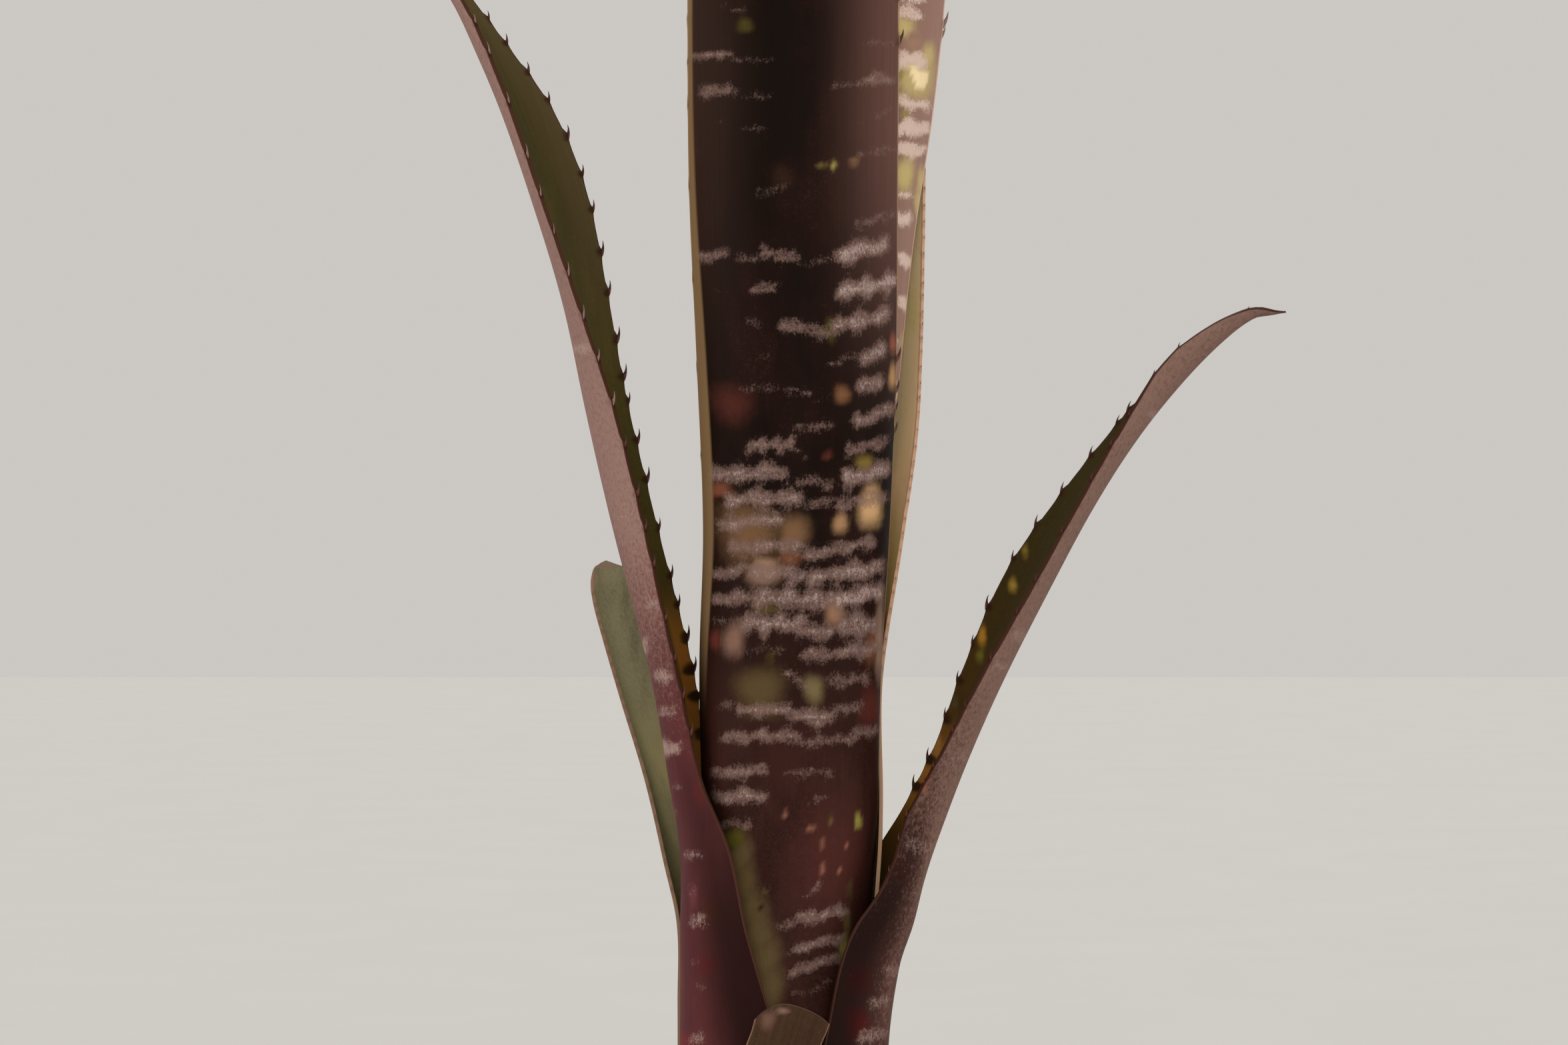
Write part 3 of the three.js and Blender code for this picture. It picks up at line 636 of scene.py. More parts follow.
# Pale and translucent blotches, and some of painted light and shade: x, y, half width and height in
# millimetres, colour, strength.
DIM_ORANGE = tone(120, 82, 56)
BROWN_TAN = tone(116, 86, 60)
PINK = tone(150, 118, 98)
DIM_PINK = tone(140, 92, 76)
CREAM = tone(240, 218, 172)
YELLOW = tone(186, 168, 112)
LIME = tone(140, 132, 64)
OLIVE = tone(92, 78, 44)
DIM_OLIVE = tone(72, 64, 24)
PALE_OLIVE = tone(112, 98, 66)
STREAK_OLIVE = tone(112, 94, 62)
DIM_LIME = tone(96, 92, 36)
SPECK_BROWN = tone(34, 18, 14)
RED_BROWN = tone(88, 42, 34)
RED = tone(128, 34, 38)
BLOTCHES = {
    "leaf_front": (
        (1119, 38, 1.7, 1.7, DIM_OLIVE, 0.9), (1249, 248, 0.9, 1.1, tone(150, 134, 74), 0.9),
        (1279, 243, 1.3, 1.0, BROWN_TAN, 0.9), (1231, 249, 1.2, 0.8, tone(100, 84, 44), 0.8),
        (1175, 265, 2.8, 2.8, tone(58, 38, 22), 0.5), (1244, 495, 1.3, 2.7, DIM_OLIVE, 0.9),
        (1262, 592, 1.9, 1.9, DIM_ORANGE, 0.9), (1100, 606, 5.0, 5.0, RED_BROWN, 0.6),
        (1240, 683, 1.2, 1.2, RED_BROWN, 0.8), (1295, 695, 1.9, 2.0, tone(118, 98, 46), 0.95),
        (1303, 760, 2.3, 4.8, tone(194, 156, 112), 1.0), (1259, 785, 1.5, 2.4, tone(158, 122, 88), 1.0),
        (1190, 800, 3.2, 4.4, BROWN_TAN, 0.95), (1125, 800, 6.5, 7.5, tone(112, 82, 56), 0.85),
        (1148, 855, 4.0, 3.2, PINK, 0.9), (1250, 918, 2.2, 3.4, tone(146, 108, 86), 0.9),
        (1185, 838, 3.2, 1.8, tone(116, 72, 50), 0.8), (1316, 960, 1.0, 10.0, PINK, 0.8),
        (1150, 912, 3.4, 1.8, OLIVE, 0.7), (1103, 960, 2.5, 4.0, tone(128, 96, 82), 0.85),
        (1076, 960, 1.2, 2.6, RED_BROWN, 0.9), (1142, 1034, 5.6, 4.4, tone(84, 68, 42), 1.0),
        (1145, 1068, 4.6, 2.4, tone(80, 64, 40), 0.6), (1219, 1034, 2.2, 3.2, PALE_OLIVE, 0.95),
        (1157, 985, 0.9, 1.6, DIM_OLIVE, 0.7), (1305, 968, 1.8, 4.5, tone(122, 78, 58), 0.7),
        (1337, 515, 0.9, 2.2, tone(140, 82, 64), 0.8), (1336, 565, 0.9, 2.8, tone(176, 134, 92), 0.85),
        (1305, 1062, 3.2, 5.0, RED_BROWN, 0.7), (1082, 735, 2.8, 2.0, tone(122, 72, 52), 0.8),
        (1102, 1262, 3.0, 3.0, DIM_LIME, 0.8), (1108, 1292, 3.0, 5.4, STREAK_OLIVE, 0.9),
        (1116, 1326, 3.2, 6.0, STREAK_OLIVE, 0.85), (1126, 1364, 3.6, 6.4, STREAK_OLIVE, 0.8),
        (1136, 1402, 3.8, 6.4, STREAK_OLIVE, 0.85), (1146, 1442, 3.4, 6.4, STREAK_OLIVE, 0.85),
        (1152, 1486, 3.2, 6.6, STREAK_OLIVE, 0.9), (1144, 1364, 0.5, 0.8, SPECK_BROWN, 1.0),
        (1151, 1332, 0.5, 0.9, SPECK_BROWN, 1.0), (1143, 1376, 0.8, 0.6, SPECK_BROWN, 1.0),
        (1141, 1404, 0.5, 0.6, SPECK_BROWN, 1.0), (1136, 1384, 0.4, 0.7, SPECK_BROWN, 0.9),
        (1129, 1356, 0.4, 0.5, SPECK_BROWN, 0.8), (1284, 1232, 0.9, 2.2, LIME, 0.9),
        (1272, 1330, 0.8, 4.0, OLIVE, 0.5), (1268, 1385, 0.9, 4.0, OLIVE, 0.8),
        (1264, 1425, 1.0, 3.6, LIME, 0.9), (1178, 1221, 0.9, 1.1, DIM_PINK, 0.8),
        (1215, 1241, 0.9, 1.1, DIM_PINK, 0.9), (1244, 1232, 0.7, 1.2, OLIVE, 0.9),
        (1231, 1265, 0.8, 1.0, DIM_PINK, 0.8), (1267, 1270, 0.6, 1.2, DIM_PINK, 0.8),
        (1231, 1303, 0.9, 1.3, DIM_PINK, 0.9), (1258, 1306, 0.7, 1.4, DIM_PINK, 0.9),
        (1249, 1319, 0.6, 0.9, DIM_PINK, 0.7), (1240, 1290, 9.0, 16.0, tone(84, 42, 38), 0.5),
    ),
    "leaf_inner_right": (
        (1352, 40, 2.4, 2.6, YELLOW, 0.95), (1341, 22, 1.0, 1.8, tone(200, 140, 70), 0.9),
        (1368, 65, 2.6, 1.8, PINK, 0.9), (1373, 118, 4.6, 5.2, YELLOW, 0.9),
        (1375, 116, 3.4, 4.0, CREAM, 1.0), (1390, 85, 1.4, 3.6, YELLOW, 0.9),
        (1348, 112, 0.9, 1.8, LIME, 0.8), (1349, 142, 0.9, 2.0, LIME, 0.8),
        (1355, 172, 1.0, 1.4, LIME, 0.8), (1354, 262, 2.2, 4.0, YELLOW, 1.0),
        (1379, 272, 1.0, 3.4, YELLOW, 0.95), (1375, 305, 1.0, 3.4, YELLOW, 0.95),
        (1352, 515, 0.9, 3.0, YELLOW, 0.6),
    ),
    "leaf_back": (
        # Painted light: lime and amber streaks where light shines through the leaf from behind.
        (1340, 850, 4.0, 14.0, tone(206, 192, 82), 0.95),
        (1368, 465, 3.0, 6.0, tone(196, 184, 96), 0.7), (1342, 640, 1.4, 8.0, tone(190, 180, 110), 0.6),
        (1340, 935, 3.0, 4.0, tone(176, 132, 50), 0.8),
    ),
    "leaf_short_back_left": (
        (906, 849, 3.0, 0.8, tone(150, 118, 104), 0.9), (889, 868, 0.8, 2.8, tone(150, 118, 104), 0.8),
        # Painted shadow: dark green streaks down the right side, where leaf_left shades this leaf.
        (936, 905, 1.6, 7.0, tone(64, 64, 36), 0.55), (950, 960, 1.6, 8.0, tone(60, 60, 34), 0.55),
        (965, 1020, 1.2, 8.0, tone(76, 76, 46), 0.45), (912, 895, 2.6, 4.0, tone(86, 80, 52), 0.45),
    ),
    "leaf_short_front": (
        (1153, 1530, 1.8, 2.2, tone(128, 94, 82), 0.6),
        (1175, 1516, 1.6, 0.8, tone(150, 116, 104), 0.6),
    ),
    "leaf_right": (
        (1539, 828, 0.8, 1.6, tone(150, 124, 48), 0.8), (1556, 786, 0.6, 1.2, OLIVE, 0.7),
        (1521, 879, 1.0, 1.6, tone(176, 144, 60), 0.95), (1475, 955, 1.0, 2.0, tone(190, 138, 48), 1.0),
        (1472, 985, 0.9, 1.6, tone(120, 112, 40), 0.9), (1434, 1055, 0.9, 1.6, OLIVE, 0.8),
        (1408, 1118, 1.0, 3.2, tone(150, 112, 62), 1.0), (1386, 1172, 0.9, 2.4, tone(176, 96, 58), 1.0),
        (1284, 1468, 2.6, 4.0, tone(106, 26, 28), 0.9), (1281, 1535, 2.8, 4.0, tone(122, 28, 30), 0.9),
        (1350, 1300, 2.4, 4.0, RED_BROWN, 0.8), (1262, 1500, 1.4, 8.0, tone(84, 56, 34), 0.6),
    ),
    "leaf_left": (
        (1072, 1366, 2.8, 2.6, tone(96, 46, 34), 0.9), (1064, 1447, 2.4, 2.6, tone(104, 36, 36), 0.7),
        (1044, 1345, 1.0, 3.4, tone(120, 62, 66), 0.6), (1030, 1560, 3.0, 2.0, RED, 0.5),
        (1052, 1190, 1.8, 3.4, tone(104, 42, 36), 0.6), (1100, 1505, 3.4, 1.6, tone(84, 42, 28), 0.5),
    ),
}

# How far in depth a blotch may reach on a leaf whose two halves lie behind each other.
FACE_DEPTHS = {"leaf_left": 9, "leaf_right": 9}

# Bands where the photograph shows none of a face: from, to, distance apart, and strength.
BANDS = {
    "leaf_front": ((398, 455, 6.0, 0.5), (100, 178, 7.0, 0.6)),
    "leaf_left": ((98, 160, 9.0, 0.2), (395, 412, 9.0, 0.3)),
    "leaf_right": ((98, 160, 9.0, 0.2),),
    "leaf_inner_right": ((200, 325, 6.5, 0.5), (398, 460, 8.5, 0.8)),
    "leaf_back": ((200, 440, 8.0, 0.5),),
    "leaf_centre": ((250, 445, 8.0, 0.5),),
    "leaf_short_back_left": ((110, 260, 10.0, 0.4),),
    "leaf_short_front": ((100, 175, 8.0, 0.1),),
}

SEEDS = {leaf.name: 11 + 7 * i for i, leaf in enumerate(LEAVES)}

# Spine lengths as the photograph shows them. The solids have sturdier ones.
SPINE_LENGTHS = {
    "leaf_left": 2.3,
    "leaf_right": 2.1,
    "leaf_front": 1.5,
    "leaf_inner_right": 1.7,
    "leaf_back": 0.55,
    "leaf_centre": 1.3,
    "leaf_short_back_left": 0.4,
}


# Photo rows of the spines' feet on margins that the photograph shows: -1 is the left margin.
SPINE_ROWS = {
    ("leaf_left", -1): (
        27, 63, 106, 149, 202, 259, 312, 375, 434, 505, 561, 600, 657, 715, 790, 860, 903,
        954, 999, 1040, 1097,
    ),
    ("leaf_left", 1): (
        31, 76, 149, 229, 288, 345, 406, 470, 535, 600, 664, 736, 788, 843, 924, 984, 1040, 1097,
    ),
    ("leaf_right", 1): (
        455, 469, 488, 530, 571, 614, 634, 682, 736, 787, 837, 908, 963, 1019, 1073, 1136, 1177,
    ),
    ("leaf_right", -1): (
        520, 560, 620, 665, 716, 796, 867, 917, 985, 1056, 1094, 1148, 1172, 1221, 1257, 1305,
    ),
    ("leaf_front", -1): (28, 92, 152, 275, 415, 548, 680),
    ("leaf_front", 1): (58, 535, 583, 612, 645),
    ("leaf_inner_right", 1): (33, 52),
}

ROW_ABOVE_PHOTO = -10

# How much longer or shorter the spines of one margin are, and which are pale.
SPINE_FACTORS = {
    ("leaf_left", 1): 0.8, ("leaf_right", -1): 0.6, ("leaf_front", -1): 0.7,
    ("leaf_front", 1): 1.6, ("leaf_inner_right", 1): 1.6,
}
PALE_SPINES = ("leaf_inner_right", "leaf_back", "leaf_short_back_left")
LEFT_PALE_ABOVE = 300

# How far spines turn from the margin towards the outer face, in degrees.
SPLAY = {("leaf_front", 1): 75, ("leaf_inner_right", 1): 60}


def faded(shares, to_tip):
    """The share at a distance from the tip."""
    at_tip, gain = shares
    return at_tip + gain * min(1.0, to_tip / TIP_FADE)


def spine_feet(leaf, side, draw):
    """Distances along a margin of its spines: those that the photo shows, and drawn ones above."""
    gap = LONG_SPINE_GAP if SPINE_LENGTHS[leaf.name] > LONG_SPINE else SHORT_SPINE_GAP
    rows = SPINE_ROWS.get((leaf.name, side), ())
    feet = [leaf.at_photo_row(side, row) for row in sorted(rows, reverse=True)]
    at = leaf.at_height(leaf.spines_from) + draw.uniform(0, FIRST_SPINE_SHIFT)
    if feet:
        at = max(feet[-1] + draw.uniform(*gap), leaf.at_photo_row(side, ROW_ABOVE_PHOTO))
    while at < leaf.total - BARE_TIP:
        feet.append(at)
        at += draw.uniform(*gap) * faded(GAP_SHARES, leaf.total - at)
    return feet


def spine_places(leaf, draw):
    """The side, distance along the leaf and length of each margin spine."""
    if leaf.name not in SPINE_LENGTHS:
        return []
    places = []
    for side in (-1, 1):
        factor = SPINE_FACTORS.get((leaf.name, side), 1.0)
        for at in spine_feet(leaf, side, draw):
            size = SPINE_LENGTHS[leaf.name] * draw.uniform(*LENGTH_SPREAD)
            places.append((side, at, size * faded(LENGTH_SHARES, leaf.total - at) * factor))
    return places


def margin_swell(at, side, edge, spines):
    """How far the margin stands out as it rises to each spine."""
    swell = np.zeros_like(at)
    for spine_side, spine_at, size in spines:
        rising = np.clip((at - spine_at + SWELL_RISE) / SWELL_RISE, 0, 1) ** RISE_CURVE
        falling = np.clip(1 - (at - spine_at) / SWELL_FALL, 0, 1) ** FALL_CURVE
        bump = np.where(at < spine_at, rising, falling) * SWELL_HEIGHT * size
        swell = np.maximum(swell, np.where(np.sign(side) == spine_side, bump, 0))
    return swell * np.clip(1 - edge / SWELL_REACH, 0, 1) ** 2


def photo_pixels(points):
    """Where the photograph shows the points, in its pixels."""
    offset = points - np.array(CAMERA_PLACE)
    across = PHOTO_CENTRE[0] + LENS_PIXELS * offset[:, 0] / offset[:, 1]
    down = PHOTO_CENTRE[1] - LENS_PIXELS * offset[:, 2] / offset[:, 1]
    return across, down


def wander(draw, place, length):
    """A smooth curve about 0, mostly within 1 of it, that turns every length or so."""
    curve = np.zeros_like(place)
    for _ in range(WAVES):
        wave = length * draw.uniform(*WAVE_LENGTHS)
        curve += np.sin(math.tau * place / wave + draw.uniform(0, math.tau))
    return curve / 2


def marked_place(spots, x, y):
    """The vertex nearest to a photo pixel, on the side that faces the camera."""
    px, py, depth = spots
    miss = np.hypot(px - x, py - y) + DEPTH_PENALTY * (depth - depth.min())
    return int(np.argmin(miss))


def stroke_field(draw, spots, x0, y0, x1, y1, half, strength):
    """How much scurf one stroke puts on each point."""
    px, py, _ = spots
    share = np.clip((px - x0) / (x1 - x0), -STROKE_OVERRUN, 1 + STROKE_OVERRUN)
    line = y0 + (y1 - y0) * share
    line = line + STROKE_WANDER[0] * wander(draw, px, STROKE_WANDER[1])
    thick = half * (1 + STROKE_SWELL[0] * wander(draw, px, STROKE_SWELL[1]))
    first_end = np.clip((px - x0) / STROKE_END + END_SHARE, 0, 1)
    last_end = np.clip((x1 - px) / STROKE_END + END_SHARE, 0, 1)
    profile = np.exp(-np.abs((py - line) / thick) ** STROKE_EDGE)
    return strength * profile * (first_end * last_end)


def band_field(draw, arc, at, middle, strength):
    """How much scurf one band across the whole leaf puts on each point."""
    line = middle + BAND_WANDER[0] * wander(draw, arc, BAND_WANDER[1])
    line = line + BAND_RIPPLE[0] * wander(draw, arc, BAND_RIPPLE[1])
    power = np.clip(strength + BAND_GAPS[0] * wander(draw, arc, BAND_GAPS[1]), 0, 1)
    thick = BAND_HALF_HEIGHT * (1 + BAND_SWELL[0] * wander(draw, arc, BAND_SWELL[1]))
    return power * np.exp(-np.abs((at - line) / thick) ** BAND_EDGE)


def scurf_field(leaf, draw, arc, at, spots):
    """How much scurf the strokes and bands put on each point of the outer face."""
    field = np.zeros_like(at)
    for stroke in STROKES.get(leaf.name, ()):
        field = np.maximum(field, stroke_field(draw, spots, *stroke))
    for start, end, apart, strength in BANDS[leaf.name]:
        height = start
        while height < end:
            band = band_field(draw, arc, at, leaf.at_height(height), strength)
            field = np.maximum(field, band)
            height += apart * draw.uniform(*BAND_SPACING)
    return field


def foot_field(heights, at, side, edge, spines):
    """How dark each point is that lies at the foot of a spine."""
    field = np.zeros_like(at)
    for spine_side, spine_at, size in spines:
        wide = FOOT_WIDTH * size * np.where(heights < WIDE_FEET_BELOW, WIDE_FEET, 1.0)
        tall = FOOT_GROWTH * size + FOOT_LENGTH
        distance = ((at - spine_at + FOOT_SHIFT) / tall) ** 2 + (edge / wide) ** 2
        field = np.maximum(field, np.where(np.sign(side) == spine_side, np.exp(-distance), 0))
    return field


def blotch_tints(leaf, spots):
    """The colour of the strongest blotch on each point, and how strong it is there."""
    px, py, depth = spots
    tint = np.zeros((len(px), 4))
    reach = FACE_DEPTHS.get(leaf.name, BLOTCH_DEPTH)
    two_lobes, three_lobes = BLOTCH_LOBES
    for x, y, wide, tall, colour, strength in BLOTCHES.get(leaf.name, ()):
        behind = np.abs(depth - depth[marked_place(spots, x, y)])
        near = 1 - np.clip((behind - reach) / DEPTH_FADE, 0, 1)
        run = (px - x) / (wide * PHOTO_SCALE)
        level = (py - y) / (tall * PHOTO_SCALE)
        angle = np.arctan2(level, run)
        lobes = 1 + two_lobes * np.sin(2 * angle + x) + three_lobes * np.sin(3 * angle + y)
        distance = np.abs(run) ** BLOTCH_EDGE + np.abs(level) ** BLOTCH_EDGE
        distance = distance / lobes**BLOTCH_EDGE
        field = strength * near * np.exp(-BLOTCH_FALL * distance)
        stronger = field > tint[:, 3]
        tint[stronger, :3] = colour[:3]
        tint[stronger, 3] = field[stronger]
    return tint


def flat_sheet(leaf):
    """A flat grid, and its points' places: side from -1 to 1, and 0 at the root to 1 at the tip."""
    widest = (leaf.rows[:, 3] + leaf.rows[:, 4]).max()
    columns = max(FEWEST_COLUMNS, 2 * round(widest / COLUMN_STEP / 2))
    rows = round(leaf.total / ROW_STEP)
    clear_selection()
    bpy.ops.mesh.primitive_grid_add(x_subdivisions=columns, y_subdivisions=rows, size=1)
    obj = bpy.context.object
    obj.name = f"{leaf.name}_skin"
    flat = np.empty(len(obj.data.vertices) * 3)
    obj.data.vertices.foreach_get("co", flat)
    flat = flat.reshape(-1, 3)
    return obj, np.clip(flat[:, 0] * 2, -1, 1), flat[:, 1] + 0.5


def lay_out_skin(mesh, arc, at):
    """Lays out the UV map in millimetres across and along the leaf."""
    loops = np.empty(len(mesh.loops), dtype=int)
    mesh.loops.foreach_get("vertex_index", loops)
    uv = np.stack([arc[loops], at[loops]], axis=1)
    mesh.uv_layers[0].name = "UVMap"
    mesh.uv_layers[0].data.foreach_set("uv", uv.ravel())


def weigh_thickness(obj, side, to_end):
    """Weights for the solidify modifier: a leaf is thinner at its margins and at its end."""
    group = obj.vertex_groups.new(name="thickness")
    thin = MARGIN_THICKNESS / SHEATH_THICKNESS
    weights = 1 + (thin - 1) * side**2
    near_end = np.clip(to_end / END_FADE, END_THINNING, 1)
    for i, weight in enumerate(weights * near_end):
        group.add([i], float(weight), "REPLACE")


def leaf_mesh(leaf):
    """The leaf's shell with what its paint reads, and the places of its spines."""
    draw = random.Random(SEEDS[leaf.name])
    spines = spine_places(leaf, draw)
    obj, side, share = flat_sheet(leaf)
    if leaf.blunt:
        share = 1 - (1 - share) ** ROW_CROWDING
    at = share * (leaf.total - leaf.end_drop(side))
    heights, _, _, left, right, _, _ = leaf.values(at).T
    edge = np.where(side < 0, left, right) * (1 - np.abs(side))
    points, arc, _ = leaf.point(at, side, margin_swell(at, side, edge, spines))
    spots = (*photo_pixels(points), points[:, 1])

    mesh = obj.data
    mesh.vertices.foreach_set("co", (points * MM).ravel())
    lay_out_skin(mesh, arc, at)
    add_float(mesh, "edge", edge)
    add_float(mesh, "thorn", foot_field(heights, at, side, edge, spines))
    add_float(mesh, "scurf", scurf_field(leaf, draw, arc, at, spots))
    add_float(mesh, "side", side)
    add_float(mesh, "rise", heights / 100)
    layer = mesh.attributes.new("tint", "FLOAT_COLOR", "POINT")
    layer.data.foreach_set("color", blotch_tints(leaf, spots).astype(np.float32).ravel())
    weigh_thickness(obj, side, leaf.total - at)
    shade_smooth(mesh)
    mesh.update()
    return obj, spines


def face_outwards(mesh):
    """Turns the sheet's normals to the leaf's outer face."""
    middle = mesh.polygons[len(mesh.polygons) // 8]
    away = Vector((middle.center.x, middle.center.y, 0.0))
    if middle.normal.dot(away) < 0:
        mesh.flip_normals()


def spine_shape():
    """One hooked spine in millimetres: x out of the margin, y towards the tip, z through the leaf."""
    clear_selection()
    bpy.ops.mesh.primitive_circle_add(vertices=8, radius=1.0, rotation=(0, math.pi / 2, 0))
    obj = bpy.context.object
    bpy.ops.object.transform_apply(location=False, rotation=True, scale=False)
    bpy.ops.object.mode_set(mode="EDIT")
    bpy.ops.mesh.select_all(action="SELECT")
    bpy.ops.transform.resize(value=(1, 1.05, 0.36))
    bpy.ops.transform.translate(value=PATTERN_FOOT)
    centre = Vector(PATTERN_FOOT)
    steps = (
        ((0.42, 0.22), 0.66, 20), ((0.34, 0.35), 0.64, 18), ((0.30, 0.50), 0.68, 14),
        ((0.22, 0.60), 0.64, 10), ((0.12, 0.65), 0.52, 6), ((0.05, 0.45), 0.25, 0),
    )
    for (out, up), shrink, angle in steps:
        bpy.ops.mesh.extrude_edges_move(TRANSFORM_OT_translate={"value": (out, up, 0)})
        centre = centre + Vector((out, up, 0))
        bpy.ops.transform.resize(value=(shrink, shrink, shrink), center_override=centre)
        if angle:
            turn = math.radians(angle)
            bpy.ops.transform.rotate(value=-turn, orient_axis="Z", center_override=centre)
    bpy.ops.mesh.merge(type="CENTER")
    bpy.ops.mesh.select_all(action="SELECT")
    bpy.ops.mesh.normals_make_consistent(inside=False)
    bpy.ops.object.mode_set(mode="OBJECT")
    mesh = obj.data
    add_float(mesh, "thorn_height", [v.co.y / PATTERN_TOP for v in mesh.vertices])
    shade_smooth(mesh)
    obj.name = "spine_pattern"
    return obj


def spine_matrix(leaf, side, at, size, lean):
    """Turns the pattern to x out of the margin and y towards the tip, at its place and size."""
    ats = np.array([at, at])
    sides = np.array([float(side), float(side)])
    places, _, along = leaf.point(ats, sides, np.array([0.0, 1.0]) * size * SWELL_HEIGHT)
    outer, _, _ = leaf.point(ats, sides, 0.0, np.array([0.0, -1.0]))
    out = Vector(places[1] - places[0]).normalized()
    splay = math.radians(SPLAY.get((leaf.name, side), 0))
    out = out * math.cos(splay) + Vector(outer[1] - outer[0]) * math.sin(splay)
    up = Vector(along[0])
    up = (up - out * up.dot(out)).normalized()
    through = (out.cross(up) + out * lean).normalized()
    up = through.cross(out).normalized()
    matrix = Matrix((out, up, through)).transposed().to_4x4()
    scale = size / PATTERN_LENGTH * MM
    for row in range(3):
        for column in range(3):
            matrix[row][column] *= scale
    matrix.translation = Vector(places[1]) * MM
    return matrix


def spine_paleness(leaf, side, at):
    """How much of the pale horn colour a spine has."""
    if (leaf.name, side) == ("leaf_front", -1) or leaf.name in PALE_SPINES:
        return 0.8
    if (leaf.name, side) == ("leaf_left", 1) and at > leaf.at_height(LEFT_PALE_ABOVE):
        return 1.0
    return 0.0


def add_spines(obj, leaf, spines, pattern, material):
    """Copies the spine along both margins and joins the copies to the leaf."""
    copies = []
    draw = random.Random(SEEDS[leaf.name] + 3)
    for side, at, size in spines:
        lean = draw.uniform(-SPINE_LEAN, SPINE_LEAN)
        copy = own_copy(pattern, spine_matrix(leaf, side, at, size, lean))
        copy.data.materials.clear()
        copy.data.materials.append(material)
        pale = spine_paleness(leaf, side, at)
        add_float(copy.data, "pale", [pale] * len(copy.data.vertices))
        copies.append(copy)
    if copies:
        join_copies(obj, copies)


# Leaf finishes.

SCURF = tone(150, 126, 124)
SCURF_BRIGHT = tone(206, 186, 180)
THORN_BROWN = tone(52, 24, 18)
AMBER = tone(190, 124, 50)


class LeafPaint(Paint):
    """One face of a leaf, built up in layers from the ground to the rim.

    Heights are in tenths of a metre above the floor. A turn is a pair of heights between which
    one look passes into another. Widths are in millimetres.
    """

    def __init__(self, name):
        super().__init__(name)
        skin = self.skin()
        self.height = self.attribute("rise")
        self.side = self.attribute("side")
        self.edge = self.attribute("edge")
        self.foot = self.attribute("thorn")
        self.clouds = self.grain(self.stretch(skin, 0.06, 0.03), 1.0, 3.0, 0.6)
        self.vein = self.grain(self.stretch(skin, 1.5, 0.02), 1.0, 3.0, 0.6)
        self.streak = self.grain(self.stretch(skin, 1.9, 1.0), 1.0, 4.0, 0.75)
        self.mottle = self.grain(self.stretch(skin, 1.1, 0.8), 1.0, 4.0, 0.75)
        self.fluff = self.grain(self.stretch(skin, 0.6, 0.5), 1.0, 3.0, 0.65)
        self.speck = self.grain(self.place(), 2.6, 3.0, 0.7)

    def ground(self, low, high, patch, turn):
        """One colour below the turn and one above it, with clouds of a third on both."""
        colour = self.mix(self.height.step(*turn), low, high)
        return self.mix(self.clouds.step(0.40, 0.66) * 0.8, colour, patch)

    def tinted_lit_and_shaded_sides(self, colour, left, right, turn):
        """Other grounds towards each margin, above the turn. They are the leaf's own tone, painted
        light on a side that faces the light, and painted shadow on a side that another leaf shades.
        """
        upper = self.height.step(*turn)
        if left:
            colour = self.mix((0 - self.side).step(0.1, 1.0) * upper, colour, left)
        if right:
            colour = self.mix(self.side.step(0.1, 1.0) * upper, colour, right)
        return colour

    def veined(self, colour, strength):
        shade = 1 - strength
        dark = self.mix(1.0, colour, (shade, shade, shade, 1), "MULTIPLY")
        return self.mix(self.vein.step(0.35, 0.65), dark, colour)

    def blotched(self, colour):
        """The blotches that the photo shows, with uneven edges. Most are the leaf's own markings, and
        some are painted light and painted shadow.
        """
        stain_light_and_shade = self.attribute("tint", "Color")
        spot = self.attribute("tint", "Alpha")
        cover = spot + (self.fluff - 0.5) * 0.25 + (self.speck - 0.5) * 0.15
        return self.mix(cover.step(0.05, 1.0) * spot.step(0.02, 0.3), colour, stain_light_and_shade)

    def shaded_sheath_edges(self):
        """Where the sheath's margins turn from the light: painted shade."""
        return self.side.size().step(0.35, 0.85) * (1 - self.height.step(1.95, 2.45))

    def farina(self, haze, turn, mottles, shade_clearing):
        """Cover of the thin farina: one amount below the turn and one above, in mottles, thinned where
        shade is painted.
        """
        amount = self.height.step(*turn) * (haze[1] - haze[0]) + haze[0] - shade_clearing
        amount = amount + (self.clouds - 0.5) * 0.6 + (self.mottle - 0.5) * mottles
        return (amount + (self.speck - 0.5) * 0.7).step(0.0, 0.9)

    def scaled(self, colour, strength, scale_colour):
        """Scurf: crowded scales on the strokes and bands. Also gives where they are."""
        band = self.attribute("scurf")
        cluster = band + (self.streak - 0.5) * 1.1 + (self.speck - 0.5) * 1.0
        cluster = cluster + (self.fluff - 0.5) * 0.8
        flecks = cluster.step(0.2, 0.78) * band.step(0.02, 0.3)
        colour = self.mix(flecks * strength, colour, scale_colour)
        thick = cluster.step(0.75, 1.25) * flecks * strength * 0.6
        return self.mix(thick, colour, SCURF_BRIGHT), flecks

    def amber_cells(self, top, margin):
        """Light through the thin margin between its spines, up to a height. Margin is -1 or 1."""
        between = (1 - self.foot.step(0.05, 0.4)) * (1 - self.edge.step(3.0, 4.6))
        glow = between * (1 - self.height.step(top - 0.1, top + 0.08)) * self.height.step(2.1, 2.3)
        return glow * (self.side * margin).step(0.2, 0.6) * (0.6 + 0.4 * self.fluff)

    def left_rim_light(self):
        """Painted rim light along the left margin, where the curled edge catches light from behind on
        the left. It narrows towards the tip.
        """
        wide = 5.2 - self.height.step(2.7, 3.9) * 3.4
        line = (1 - (self.edge - wide).step(-0.7, 0.5)) * (0 - self.side).step(0.0, 0.1)
        return line * self.height.step(2.38, 2.62) * (0.8 + 0.2 * self.vein)


